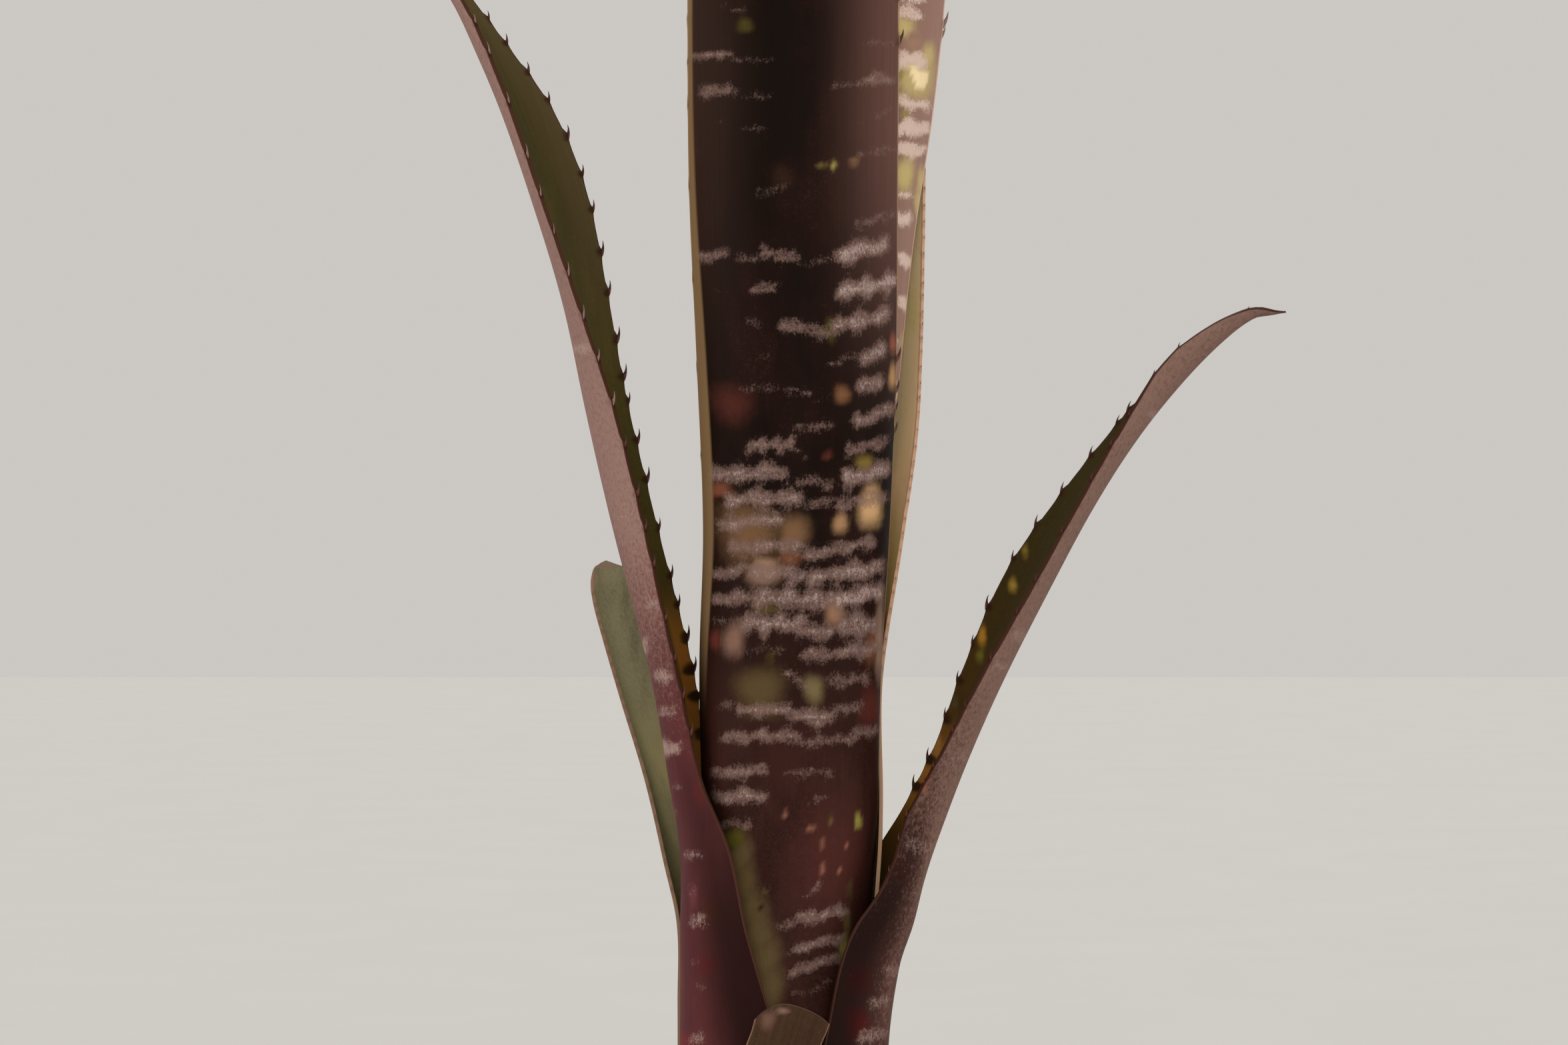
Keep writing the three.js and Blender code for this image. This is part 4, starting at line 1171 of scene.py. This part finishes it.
def leaf_paint(
    name, low, high, patch, turn=(1.6, 2.6), veins=0.1, mottles=0.5, roughness=0.5,
    left_tone=None, right_tone=None, side_turn=(0.0, 0.1), edge_shade=None,
    haze=(0.2, 0.2), haze_colour=SCURF, haze_turn=(1.8, 2.9), crown=None,
    scurf=0.9, scurf_colour=SCURF, amber=0.0, amber_side=0, rim_light=None,
    margin=None, margin_width=0.5, thorn=0.6,
):
    """One face of a leaf, from the layers of LeafPaint. None and 0 leave a layer out.

    low, high, patch: the ground below and above its turn, and the clouds on it
    veins, mottles: how strong the dark veins and the mottles in the farina are
    left_tone, right_tone: grounds towards the margins above the side turn; some are the leaf's own
    tone, some painted light on a side that faces the light, and some painted shadow
    edge_shade: painted shade on the sheath's margins, where the farina is thinned as well
    haze, haze_colour: how much farina there is below and above its turn, and its colour
    crown: a ground over the farina near the tip
    scurf, scurf_colour: how strong strokes and bands are, and their colour
    amber, amber_side: up to which height light shines through, and at which margin
    stripe: painted rim light along the curled left margin
    margin, margin_width: the rim
    thorn: how dark the spines' feet are
    """
    paint = LeafPaint(name)
    colour = paint.ground(low, high, patch, turn)
    colour = paint.tinted_lit_and_shaded_sides(colour, left_tone, right_tone, side_turn)
    colour = paint.blotched(paint.veined(colour, veins))
    shade_clearing = 0.0
    # Painted shade on the sheath's margins, with less farina there so that they stay dark.
    if edge_shade:
        shaded = paint.shaded_sheath_edges()
        colour = paint.mix(shaded * 0.9, colour, edge_shade)
        shade_clearing = shaded * 0.5
    dust = paint.farina(haze, haze_turn, mottles, shade_clearing)
    colour = paint.mix(dust, colour, haze_colour)
    if crown:
        colour = paint.mix(paint.height.step(3.8, 4.5) * (0.75 + 0.2 * paint.vein), colour, crown)
    colour, flecks = paint.scaled(colour, scurf, scurf_colour)
    if amber:
        colour = paint.mix(paint.amber_cells(amber, amber_side), colour, AMBER)
    # Painted rim light along the curled left margin.
    if rim_light:
        colour = paint.mix(paint.left_rim_light(), colour, rim_light)
    if margin:
        rim = 1 - paint.edge.step(margin_width * 0.45, margin_width)
        colour = paint.mix(rim, colour, margin)
    colour = paint.mix(paint.foot.step(0.12, 0.7) * thorn, colour, THORN_BROWN)
    rough = flecks * (0.9 - roughness) + dust * 0.15 + roughness
    relief = paint.vein * 0.5 + flecks * 0.5 + paint.speck * 0.15
    return paint.finish(colour, rough, relief, 0.08, gloss=0.05)


def spine_paint():
    """Spines: red-brown at the foot, near black above, with a paler point."""
    paint = Paint("spine_horn")
    height = paint.attribute("thorn_height")
    pale = paint.attribute("pale")
    mottle = paint.grain(paint.place(), 3.0, 2.0)
    colour = paint.mix(height.step(-0.2, 0.5), tone(88, 38, 28), tone(34, 22, 20))
    colour = paint.mix(height.step(0.55, 1.0) * 0.5, colour, tone(110, 88, 76))
    colour = paint.mix(mottle.step(0.4, 0.7) * 0.4, colour, tone(70, 36, 28))
    colour = paint.mix(pale * 0.9, colour, tone(134, 106, 98))
    return paint.finish(colour, 0.42, mottle, 0.03, gloss=0.4)


def leaf_materials():
    """Each leaf's outer and inner finish, and the slot that it fills."""
    front_outer = leaf_paint(
        "front_outer", tone(60, 32, 27), tone(18, 8, 4), tone(32, 13, 9), scurf=0.78,
        scurf_colour=tone(117, 93, 86), haze=(0.1, -0.03), haze_colour=tone(88, 60, 54),
        margin=tone(146, 118, 90), margin_width=0.5, thorn=0.5, left_tone=tone(50, 32, 26),
        # Painted light: right_tone lightens the side that faces the light, and stripe is painted rim
        # light on the left margin.
        right_tone=tone(98, 68, 61), side_turn=(2.9, 3.7), rim_light=tone(126, 100, 70),
        turn=(2.1, 2.9),
    )
    # Both mauve faces get painted shade on their sheath's margins through edge_shade.
    mauve_left = leaf_paint(
        "mauve_left", tone(84, 40, 44), tone(112, 76, 70), tone(100, 50, 50), scurf=0.75,
        scurf_colour=tone(166, 140, 132), haze=(-0.15, 0.72), haze_colour=tone(146, 116, 108),
        haze_turn=(2.15, 2.95), margin=tone(70, 44, 38), margin_width=0.3, thorn=0.35,
        edge_shade=tone(26, 11, 8), mottles=1.5, roughness=0.62, turn=(2.2, 3.0), veins=0.08,
    )
    mauve_right = leaf_paint(
        "mauve_right", tone(70, 40, 34), tone(96, 70, 61), tone(82, 50, 43), scurf=0.75,
        scurf_colour=tone(150, 124, 116), haze=(0.05, 0.66), haze_colour=tone(130, 102, 92),
        haze_turn=(1.4, 2.5), margin=tone(70, 44, 38), margin_width=0.3, thorn=0.35,
        edge_shade=tone(22, 10, 8), mottles=1.6, roughness=0.62, turn=(1.9, 2.9), veins=0.08,
    )
    left_inner = leaf_paint(
        "left_inner", tone(84, 60, 22), tone(74, 66, 30), tone(84, 74, 32), scurf=0.0,
        haze=(0.0, 0.16), haze_colour=tone(104, 92, 54), margin=tone(70, 42, 30),
        margin_width=0.25, amber_side=-1, thorn=0.8, amber=2.6, left_tone=tone(92, 78, 52),
        right_tone=tone(48, 44, 18), side_turn=(3.0, 3.6), turn=(2.4, 2.9),
    )
    right_inner = leaf_paint(
        "right_inner", tone(84, 60, 22), tone(62, 52, 24), tone(58, 48, 18), scurf=0.0,
        haze=(0.0, 0.1), haze_colour=tone(92, 76, 46), margin=tone(60, 36, 26),
        margin_width=0.22, amber_side=1, thorn=0.8, amber=2.34, turn=(2.4, 2.8),
    )
    inner_right_outer = leaf_paint(
        "inner_right_outer", tone(60, 38, 32), tone(134, 101, 89), tone(116, 83, 74),
        scurf_colour=tone(208, 184, 172), haze=(0.2, 0.1), haze_colour=tone(162, 132, 120),
        margin=tone(206, 166, 148), margin_width=1.0, thorn=0.3,
        right_tone=tone(150, 118, 106), turn=(2.4, 3.2),
    )
    # Its pale ground is partly the leaf's own colour and partly painted light shining through it from
    # behind.
    pale_backlit_inner = leaf_paint(
        "pale_backlit_inner", tone(128, 108, 44), tone(224, 198, 152), tone(214, 194, 130),
        scurf=0.0, haze=(0.1, 0.45), haze_colour=tone(220, 192, 150), margin=tone(190, 152, 124),
        margin_width=0.6, thorn=0.2, turn=(2.2, 2.8), roughness=0.6, crown=tone(104, 96, 54),
    )
    green_inner = leaf_paint(
        "green_inner", tone(50, 44, 22), tone(104, 96, 56), tone(92, 88, 46), scurf=0.0,
        haze=(0.1, 0.3), haze_colour=tone(130, 114, 80), margin=tone(130, 90, 70),
        margin_width=0.6, thorn=0.5, turn=(2.5, 3.1), roughness=0.55,
    )
    green_outer = leaf_paint(
        "green_outer", tone(70, 44, 38), tone(84, 70, 42), tone(76, 52, 40),
        haze=(0.3, 0.45), haze_colour=tone(122, 104, 82), margin=tone(130, 98, 76),
        margin_width=0.6, thorn=0.5, roughness=0.55,
    )
    short_inner = leaf_paint(
        "short_inner", tone(178, 168, 116), tone(140, 136, 104), tone(130, 130, 92),
        # right_tone is painted shadow: the right side lies in leaf_left's shadow.
        scurf=0.0, haze=(0.2, 0.35), haze_colour=tone(170, 160, 132), right_tone=tone(100, 104, 62),
        margin=tone(132, 106, 86), margin_width=0.35, thorn=0.2, roughness=0.6,
        turn=(2.2, 2.6), mottles=0.8,
    )
    old_outer = leaf_paint(
        "old_outer", tone(66, 44, 30), tone(70, 50, 36), tone(58, 40, 28), veins=0.2,
        scurf=0.5, haze=(0.1, 0.2), haze_colour=tone(104, 80, 64), margin=tone(120, 92, 74),
        margin_width=0.4, thorn=0.3, roughness=0.6, turn=(1.2, 1.7),
    )
    old_inner = leaf_paint(
        "old_inner", tone(84, 60, 42), tone(100, 78, 54), tone(88, 66, 46), veins=0.2,
        scurf=0.0, haze_colour=tone(120, 96, 80), margin=tone(124, 96, 78),
        margin_width=0.4, thorn=0.3, roughness=0.75, turn=(1.2, 1.7),
    )
    return {
        "leaf_left": (mauve_left, left_inner, "mauve_leaf"),
        "leaf_right": (mauve_right, right_inner, "mauve_leaf"),
        "leaf_front": (front_outer, green_inner, "banded_leaf"),
        "leaf_inner_right": (inner_right_outer, green_inner, "banded_leaf"),
        "leaf_back": (green_outer, pale_backlit_inner, "green_leaf"),
        "leaf_centre": (green_outer, green_inner, "green_leaf"),
        "leaf_short_back_left": (green_outer, short_inner, "green_leaf"),
        "leaf_short_front": (old_outer, old_inner, "old_leaf"),
    }


def make_leaves():
    materials = leaf_materials()
    horn = spine_paint()
    pattern = spine_shape()
    for leaf in LEAVES:
        obj, spines = leaf_mesh(leaf)
        face_outwards(obj.data)
        outer, inner, slot = materials[leaf.name]
        obj.data.materials.append(outer)
        obj.data.materials.append(inner)
        apply_modifier(
            obj, "SOLIDIFY", thickness=SHEATH_THICKNESS * MM, offset=0.0,
            vertex_group="thickness", material_offset=1, material_offset_rim=1,
            use_even_offset=False,
        )
        bevel_edges(obj, RIM_ROUNDING, segments=2, sharp_turn=50)
        obj.vertex_groups.clear()
        add_spines(obj, leaf, spines, pattern, horn)
        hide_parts(leaf.name)
        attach(obj, "root")
    bpy.data.objects.remove(pattern, do_unlink=True)


# Pot and potting mix.


def pot_outside(height):
    """The pot's outer radius, below its rim band."""
    share = height / POT_HEIGHT
    return POT_BASE_RADIUS + (POT_NECK_RADIUS - POT_BASE_RADIUS) * share


def pot_inside(height):
    return pot_outside(height) - POT_WALL


def turned(name, profile, sides):
    """A closed shape turned on the plant's axis: a circle drawn out ring by ring."""
    clear_selection()
    radius, height = profile[0]
    bpy.ops.mesh.primitive_circle_add(vertices=sides, radius=radius * MM)
    obj = bpy.context.object
    obj.name = name
    bpy.ops.object.mode_set(mode="EDIT")
    bpy.ops.mesh.select_all(action="SELECT")
    bpy.ops.transform.translate(value=(0, 0, height * MM))
    for next_radius, next_height in profile[1:]:
        lift = (0, 0, (next_height - height) * MM)
        bpy.ops.mesh.extrude_edges_move(TRANSFORM_OT_translate={"value": lift})
        scale = next_radius / radius
        bpy.ops.transform.resize(value=(scale, scale, 1))
        radius, height = next_radius, next_height
    bpy.ops.mesh.select_all(action="DESELECT")
    bpy.ops.mesh.select_non_manifold()
    bpy.ops.mesh.fill_holes(sides=0)
    bpy.ops.mesh.select_all(action="SELECT")
    bpy.ops.mesh.remove_doubles(threshold=1e-6)
    bpy.ops.mesh.normals_make_consistent(inside=False)
    bpy.ops.object.mode_set(mode="OBJECT")
    return obj


def pot_paint():
    paint = Paint("moulded_plastic")
    place = paint.place()
    fine = paint.grain(place, 3.2, 3.0, 0.6)
    broad = paint.grain(place, 0.05, 3.0, 0.6)
    rings = paint.grain(paint.stretch(place, 0.02, 0.02, 0.9), 1.0, 2.0)
    scuff = paint.grain(paint.stretch(place, 0.35, 0.35, 0.08), 1.0, 4.0, 0.7)
    colour = paint.mix(broad.step(0.35, 0.7), tone(58, 58, 60), tone(70, 69, 70))
    colour = paint.mix(scuff.step(0.60, 0.78) * 0.35, colour, tone(120, 116, 110))
    colour = paint.mix(fine.step(0.45, 0.8) * 0.25, colour, tone(84, 82, 82))
    rough = 0.42 + 0.18 * fine + 0.12 * scuff
    relief = fine * 0.5 + rings * 0.5
    return paint.finish(colour, rough, relief, 0.06, gloss=0.4)


def pot_profile():
    """The pot's outline from the middle of its foot, over the rim, to the middle of its floor."""
    inner_ring, outer_ring = FLOOR_RING_RADII
    band_foot = POT_HEIGHT - RIM_HEIGHT
    return [
        (inner_ring, 0.0),
        (outer_ring, 0.0),
        (pot_outside(0), 0.0),
        (pot_outside(band_foot), band_foot),
        (pot_outside(band_foot) + RIM_OVERHANG, band_foot),
        (pot_outside(POT_HEIGHT) + RIM_OVERHANG, POT_HEIGHT),
        (pot_inside(POT_HEIGHT), POT_HEIGHT),
        (pot_inside(POT_FLOOR), POT_FLOOR),
        (outer_ring, POT_FLOOR),
        (inner_ring, POT_FLOOR),
    ]


def drain_cutter(angle):
    """A rod through the pot's floor where a drainage hole is."""
    x = DRAIN_RING_RADIUS * math.cos(angle) * MM
    y = DRAIN_RING_RADIUS * math.sin(angle) * MM
    clear_selection()
    bpy.ops.mesh.primitive_cylinder_add(
        vertices=DRAIN_SIDES, radius=DRAIN_RADIUS * MM, depth=3 * POT_FLOOR * MM, location=(x, y, 0)
    )
    return bpy.context.object


def make_pot():
    pot = turned("pot_moulded", pot_profile(), POT_SIDES)
    cutters = [drain_cutter(math.tau * (i + 0.5) / DRAIN_COUNT) for i in range(DRAIN_COUNT)]
    for cutter in cutters:
        apply_modifier(pot, "BOOLEAN", operation="DIFFERENCE", object=cutter, solver="EXACT")
        bpy.data.objects.remove(cutter, do_unlink=True)
    bevel_edges(pot, POT_ROUNDING, segments=3, sharp_turn=40)
    smooth_all(pot, sharp_turn=35)
    pot.data.materials.append(pot_paint())
    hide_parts("pot")
    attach(pot, "root")


def smooth(value, start, end):
    """0 at start and 1 at end, with a smooth turn between them."""
    t = min(1.0, max(0.0, (value - start) / (end - start)))
    return t * t * (3 - 2 * t)


def soil_edge():
    """The radius of the mix's top."""
    return pot_inside(SOIL_TOP) - FIT_GAP


def top_fade(x, y, hole_fade, wall_fade):
    """1 on the mix's top, falling to 0 at the leaves and at the wall."""
    radius = math.hypot(x, y)
    fade = smooth(radius, CROWN_HOLE_RADIUS, CROWN_HOLE_RADIUS + hole_fade)
    return fade * (1 - smooth(radius, soil_edge() - wall_fade, soil_edge()))


def soil_height(x, y):
    """The height of the mix's top without its crumbs."""
    wave_x = math.tau * x / MOUND_LENGTH_X
    wave_y = math.tau * y / MOUND_LENGTH_Y
    mounds = math.sin(wave_x + 1) * math.cos(wave_y) + math.sin(2 * wave_x - wave_y) / 2
    return SOIL_TOP + MOUND_HEIGHT * top_fade(x, y, HOLE_FADE, WALL_FADE) * mounds


def soil_paint():
    paint = Paint("potting_crumb")
    place = paint.place()
    crumb = paint.grain(place, 0.55, 5.0, 0.7)
    fine = paint.grain(place, 2.0, 3.0, 0.7)
    fibre = paint.grain(paint.stretch(place, 0.3, 1.6), 1.0, 3.0, 0.6, 1.5)
    colour = paint.mix(crumb.step(0.35, 0.65), tone(38, 27, 20), tone(78, 56, 40))
    colour = paint.mix(fine.step(0.5, 0.75) * 0.5, colour, tone(104, 78, 56))
    colour = paint.mix(fibre.step(0.66, 0.74) * 0.6, colour, tone(132, 104, 74))
    relief = crumb * 1.0 + fine * 0.4
    return paint.finish(colour, 0.9, relief, 0.8, gloss=0.2)


def bark_paint():
    paint = Paint("bark_chip")
    place = paint.place()
    layers = paint.grain(paint.stretch(place, 0.5, 0.5, 2.4), 1.0, 4.0, 0.6)
    broad = paint.grain(place, 0.16, 2.0)
    colour = paint.mix(layers.step(0.35, 0.7), tone(70, 46, 32), tone(134, 96, 66))
    colour = paint.mix(broad.step(0.45, 0.6) * 0.6, colour, tone(92, 66, 50))
    return paint.finish(colour, 0.85, layers, 0.5, gloss=0.2)


def perlite_paint():
    paint = Paint("perlite_grain")
    pores = paint.grain(paint.place(), 2.2, 4.0, 0.7)
    colour = paint.mix(pores.step(0.35, 0.65), tone(176, 170, 158), tone(224, 220, 210))
    return paint.finish(colour, 0.9, pores, 0.4, gloss=0.2)


def chip_shape(name, size, seed, squareness):
    """An uneven lump of the given length, width and depth in millimetres."""
    clear_selection()
    bpy.ops.mesh.primitive_ico_sphere_add(subdivisions=2, radius=0.5)
    obj = bpy.context.object
    obj.name = name
    offset = Vector((seed * 3.1, seed * 1.7, seed * 0.9))
    for vertex in obj.data.vertices:
        block = max(abs(part) for part in vertex.co)
        cubed = vertex.co * (0.5 / block)
        place = vertex.co.lerp(cubed, squareness)
        place = place * (1 + CHIP_LUMPS * noise.noise(vertex.co * CHIP_LUMP_PITCH + offset))
        vertex.co = Vector((place.x * size[0], place.y * size[1], place.z * size[2])) * MM
    obj.data.update()
    return obj


def scatter(name, patterns, material, count, seed, sizes, rise):
    """Copies of the patterns over the top of the mix, as one piece.

    rise is how high the middle of a copy lies over the top, for a size of 1.
    """
    draw = random.Random(seed)
    copies = []
    for _ in range(count):
        size = draw.uniform(*sizes)
        reach = CHIP_REACH * size
        inner = TUBE_RADIUS + LEAF_CLEARANCE + reach / 2
        outer = soil_edge() - reach / 2 - WALL_CLEARANCE
        radius = math.sqrt(draw.uniform(inner**2, outer**2))
        angle = draw.uniform(0, math.tau)
        x = radius * math.cos(angle)
        y = radius * math.sin(angle)
        pattern = draw.choice(patterns)
        turn = (
            Matrix.Rotation(draw.uniform(0, math.tau), 4, "Z")
            @ Matrix.Rotation(draw.uniform(-CHIP_TILT_X, CHIP_TILT_X), 4, "X")
            @ Matrix.Rotation(draw.uniform(-CHIP_TILT_Y, CHIP_TILT_Y), 4, "Y")
        )
        height = soil_height(x, y) + rise * size
        place = Matrix.Translation(Vector((x, y, height)) * MM)
        copies.append(own_copy(pattern, place @ turn @ Matrix.Scale(size, 4)))
    piece = copies[0]
    join_copies(piece, copies)
    piece.name = name
    piece.data.materials.clear()
    piece.data.materials.append(material)
    piece.data.polygons.foreach_set("material_index", [0] * len(piece.data.polygons))
    smooth_all(piece, sharp_turn=38)
    for pattern in patterns:
        bpy.data.objects.remove(pattern, do_unlink=True)
    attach(piece, "root")


def mix_profile():
    """The mix's outline from its foot, along the wall and over the top, to the stem's seat."""
    foot = POT_FLOOR + FIT_GAP
    crown_floor = SOIL_TOP - CROWN_HOLE_DEPTH
    stem_hole = STEM_RADIUS + FIT_GAP
    seat = STEM_FOOT - FIT_GAP
    top = [
        (soil_edge() + (CROWN_HOLE_RADIUS - soil_edge()) * i / SOIL_RINGS, SOIL_TOP)
        for i in range(SOIL_RINGS + 1)
    ]
    return [
        (FLOOR_RING_RADII[0], foot),
        (pot_inside(foot) - FIT_GAP, foot),
        *top,
        (CROWN_HOLE_RADIUS, crown_floor),
        (stem_hole, crown_floor),
        (stem_hole, seat),
        (SEAT_RING_RADIUS, seat),
    ]


def crumble_top(mesh):
    """Raises the flat top into low mounds of crumbs."""
    for vertex in mesh.vertices:
        x, y, z = vertex.co / MM
        if abs(z - SOIL_TOP) > TOP_TOLERANCE:
            continue
        fade = top_fade(x, y, CRUMB_HOLE_FADE, CRUMB_WALL_FADE)
        crumbs = noise.fractal(Vector((x, y, 0)) * CRUMB_PITCH, 1.0, 2.0, 4) * CRUMB_HEIGHT
        vertex.co.z = (soil_height(x, y) + crumbs * fade) * MM
    mesh.update()


def make_chips():
    chips = [
        chip_shape("chip_long", (7.5, 3.4, 1.7), seed=1, squareness=0.75),
        chip_shape("chip_square", (5.2, 4.4, 1.9), seed=2, squareness=0.8),
        chip_shape("chip_splinter", (8.0, 2.0, 1.4), seed=3, squareness=0.6),
        chip_shape("chip_small", (3.6, 2.8, 1.6), seed=4, squareness=0.7),
    ]
    scatter("bark_chips", chips, bark_paint(), count=330, seed=21, sizes=(0.6, 1.25), rise=0.35)
    grains = [
        chip_shape("perlite_round", (2.3, 2.1, 1.9), seed=5, squareness=0.2),
        chip_shape("perlite_long", (2.8, 2.0, 1.8), seed=6, squareness=0.3),
    ]
    scatter("perlite", grains, perlite_paint(), count=120, seed=22, sizes=(0.55, 1.1), rise=0.5)


def make_mix():
    mix = turned("potting_crumb_bed", mix_profile(), SOIL_SIDES)
    crumble_top(mix.data)
    smooth_all(mix, sharp_turn=50)
    mix.data.materials.append(soil_paint())
    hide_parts("potting_mix")
    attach(mix, "root")
    make_chips()


def stem_paint():
    paint = Paint("stem_skin")
    place = paint.place()
    rings = paint.grain(paint.stretch(place, 0.05, 0.05, 0.9), 1.0, 2.0)
    fine = paint.grain(place, 1.4, 3.0, 0.6)
    colour = paint.mix(rings.step(0.35, 0.7), tone(112, 92, 58), tone(160, 142, 98))
    colour = paint.mix(fine.step(0.5, 0.75) * 0.5, colour, tone(96, 72, 46))
    return paint.finish(colour, 0.75, rings + fine * 0.4, 0.5, gloss=0.3)


def dress_stem():
    """The stem stays the CAD node, with its own finish."""
    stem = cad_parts["stem"]
    material = stem_paint()
    if stem.data.materials:
        for i in range(len(stem.data.materials)):
            stem.material_slots[i].material = material
    else:
        stem.data.materials.append(material)


# Studio. The floor's size is in metres, and a light's softness in degrees.

FLOOR_SIZE = 14
SKY_COLOUR = (1.0, 0.965, 0.92, 1)
SKY_STRENGTH = 0.6
LIGHT_COLOUR = (1.0, 0.95, 0.88)
LIGHT_SOFTNESS = 48
LIGHTS = (
    ("light_left", (-1.0, -0.35, 0.5), 1.2),
    ("light_right", (1.0, -0.25, 0.5), 1.0),
    ("light_front", (0.1, -1.0, 0.35), 0.9),
    ("light_back", (0.2, 1.0, 0.9), 0.45),
)


def make_floor():
    paint = Paint("studio_floor")
    speckle = paint.grain(paint.place(), 0.01, 2.0)
    colour = paint.mix(speckle, (0.555, 0.555, 0.55, 1), (0.58, 0.58, 0.575, 1))
    material = paint.finish(colour, 0.8, gloss=0.1)
    clear_selection()
    bpy.ops.mesh.primitive_plane_add(size=FLOOR_SIZE)
    floor = bpy.context.object
    floor.name = "studio_floor"
    floor.data.materials.append(material)


def make_sky():
    world = bpy.data.worlds.new("studio")
    bpy.context.scene.world = world
    world.use_nodes = True
    background = world.node_tree.nodes["Background"]
    background.inputs["Color"].default_value = SKY_COLOUR
    background.inputs["Strength"].default_value = SKY_STRENGTH


def make_lights():
    for name, towards, power in LIGHTS:
        data = bpy.data.lights.new(name, "SUN")
        data.energy = power
        data.color = LIGHT_COLOUR
        data.angle = math.radians(LIGHT_SOFTNESS)
        light = bpy.data.objects.new(name, data)
        light.rotation_euler = Vector(towards).to_track_quat("Z", "Y").to_euler()
        bpy.context.collection.objects.link(light)


def make_camera():
    view = bpy.data.cameras.new("camera")
    view.lens = LENS
    view.sensor_width = SENSOR
    view.clip_start = 0.01
    view.clip_end = 50
    camera = bpy.data.objects.new("camera", view)
    camera.location = Vector(CAMERA_PLACE) * MM
    camera.rotation_euler = (math.pi / 2, 0, 0)
    bpy.context.collection.objects.link(camera)
    bpy.context.scene.camera = camera


def make_studio():
    make_floor()
    make_sky()
    make_lights()
    make_camera()
    bpy.context.scene.view_settings.view_transform = "Standard"


make_studio()
make_leaves()
make_pot()
make_mix()
dress_stem()
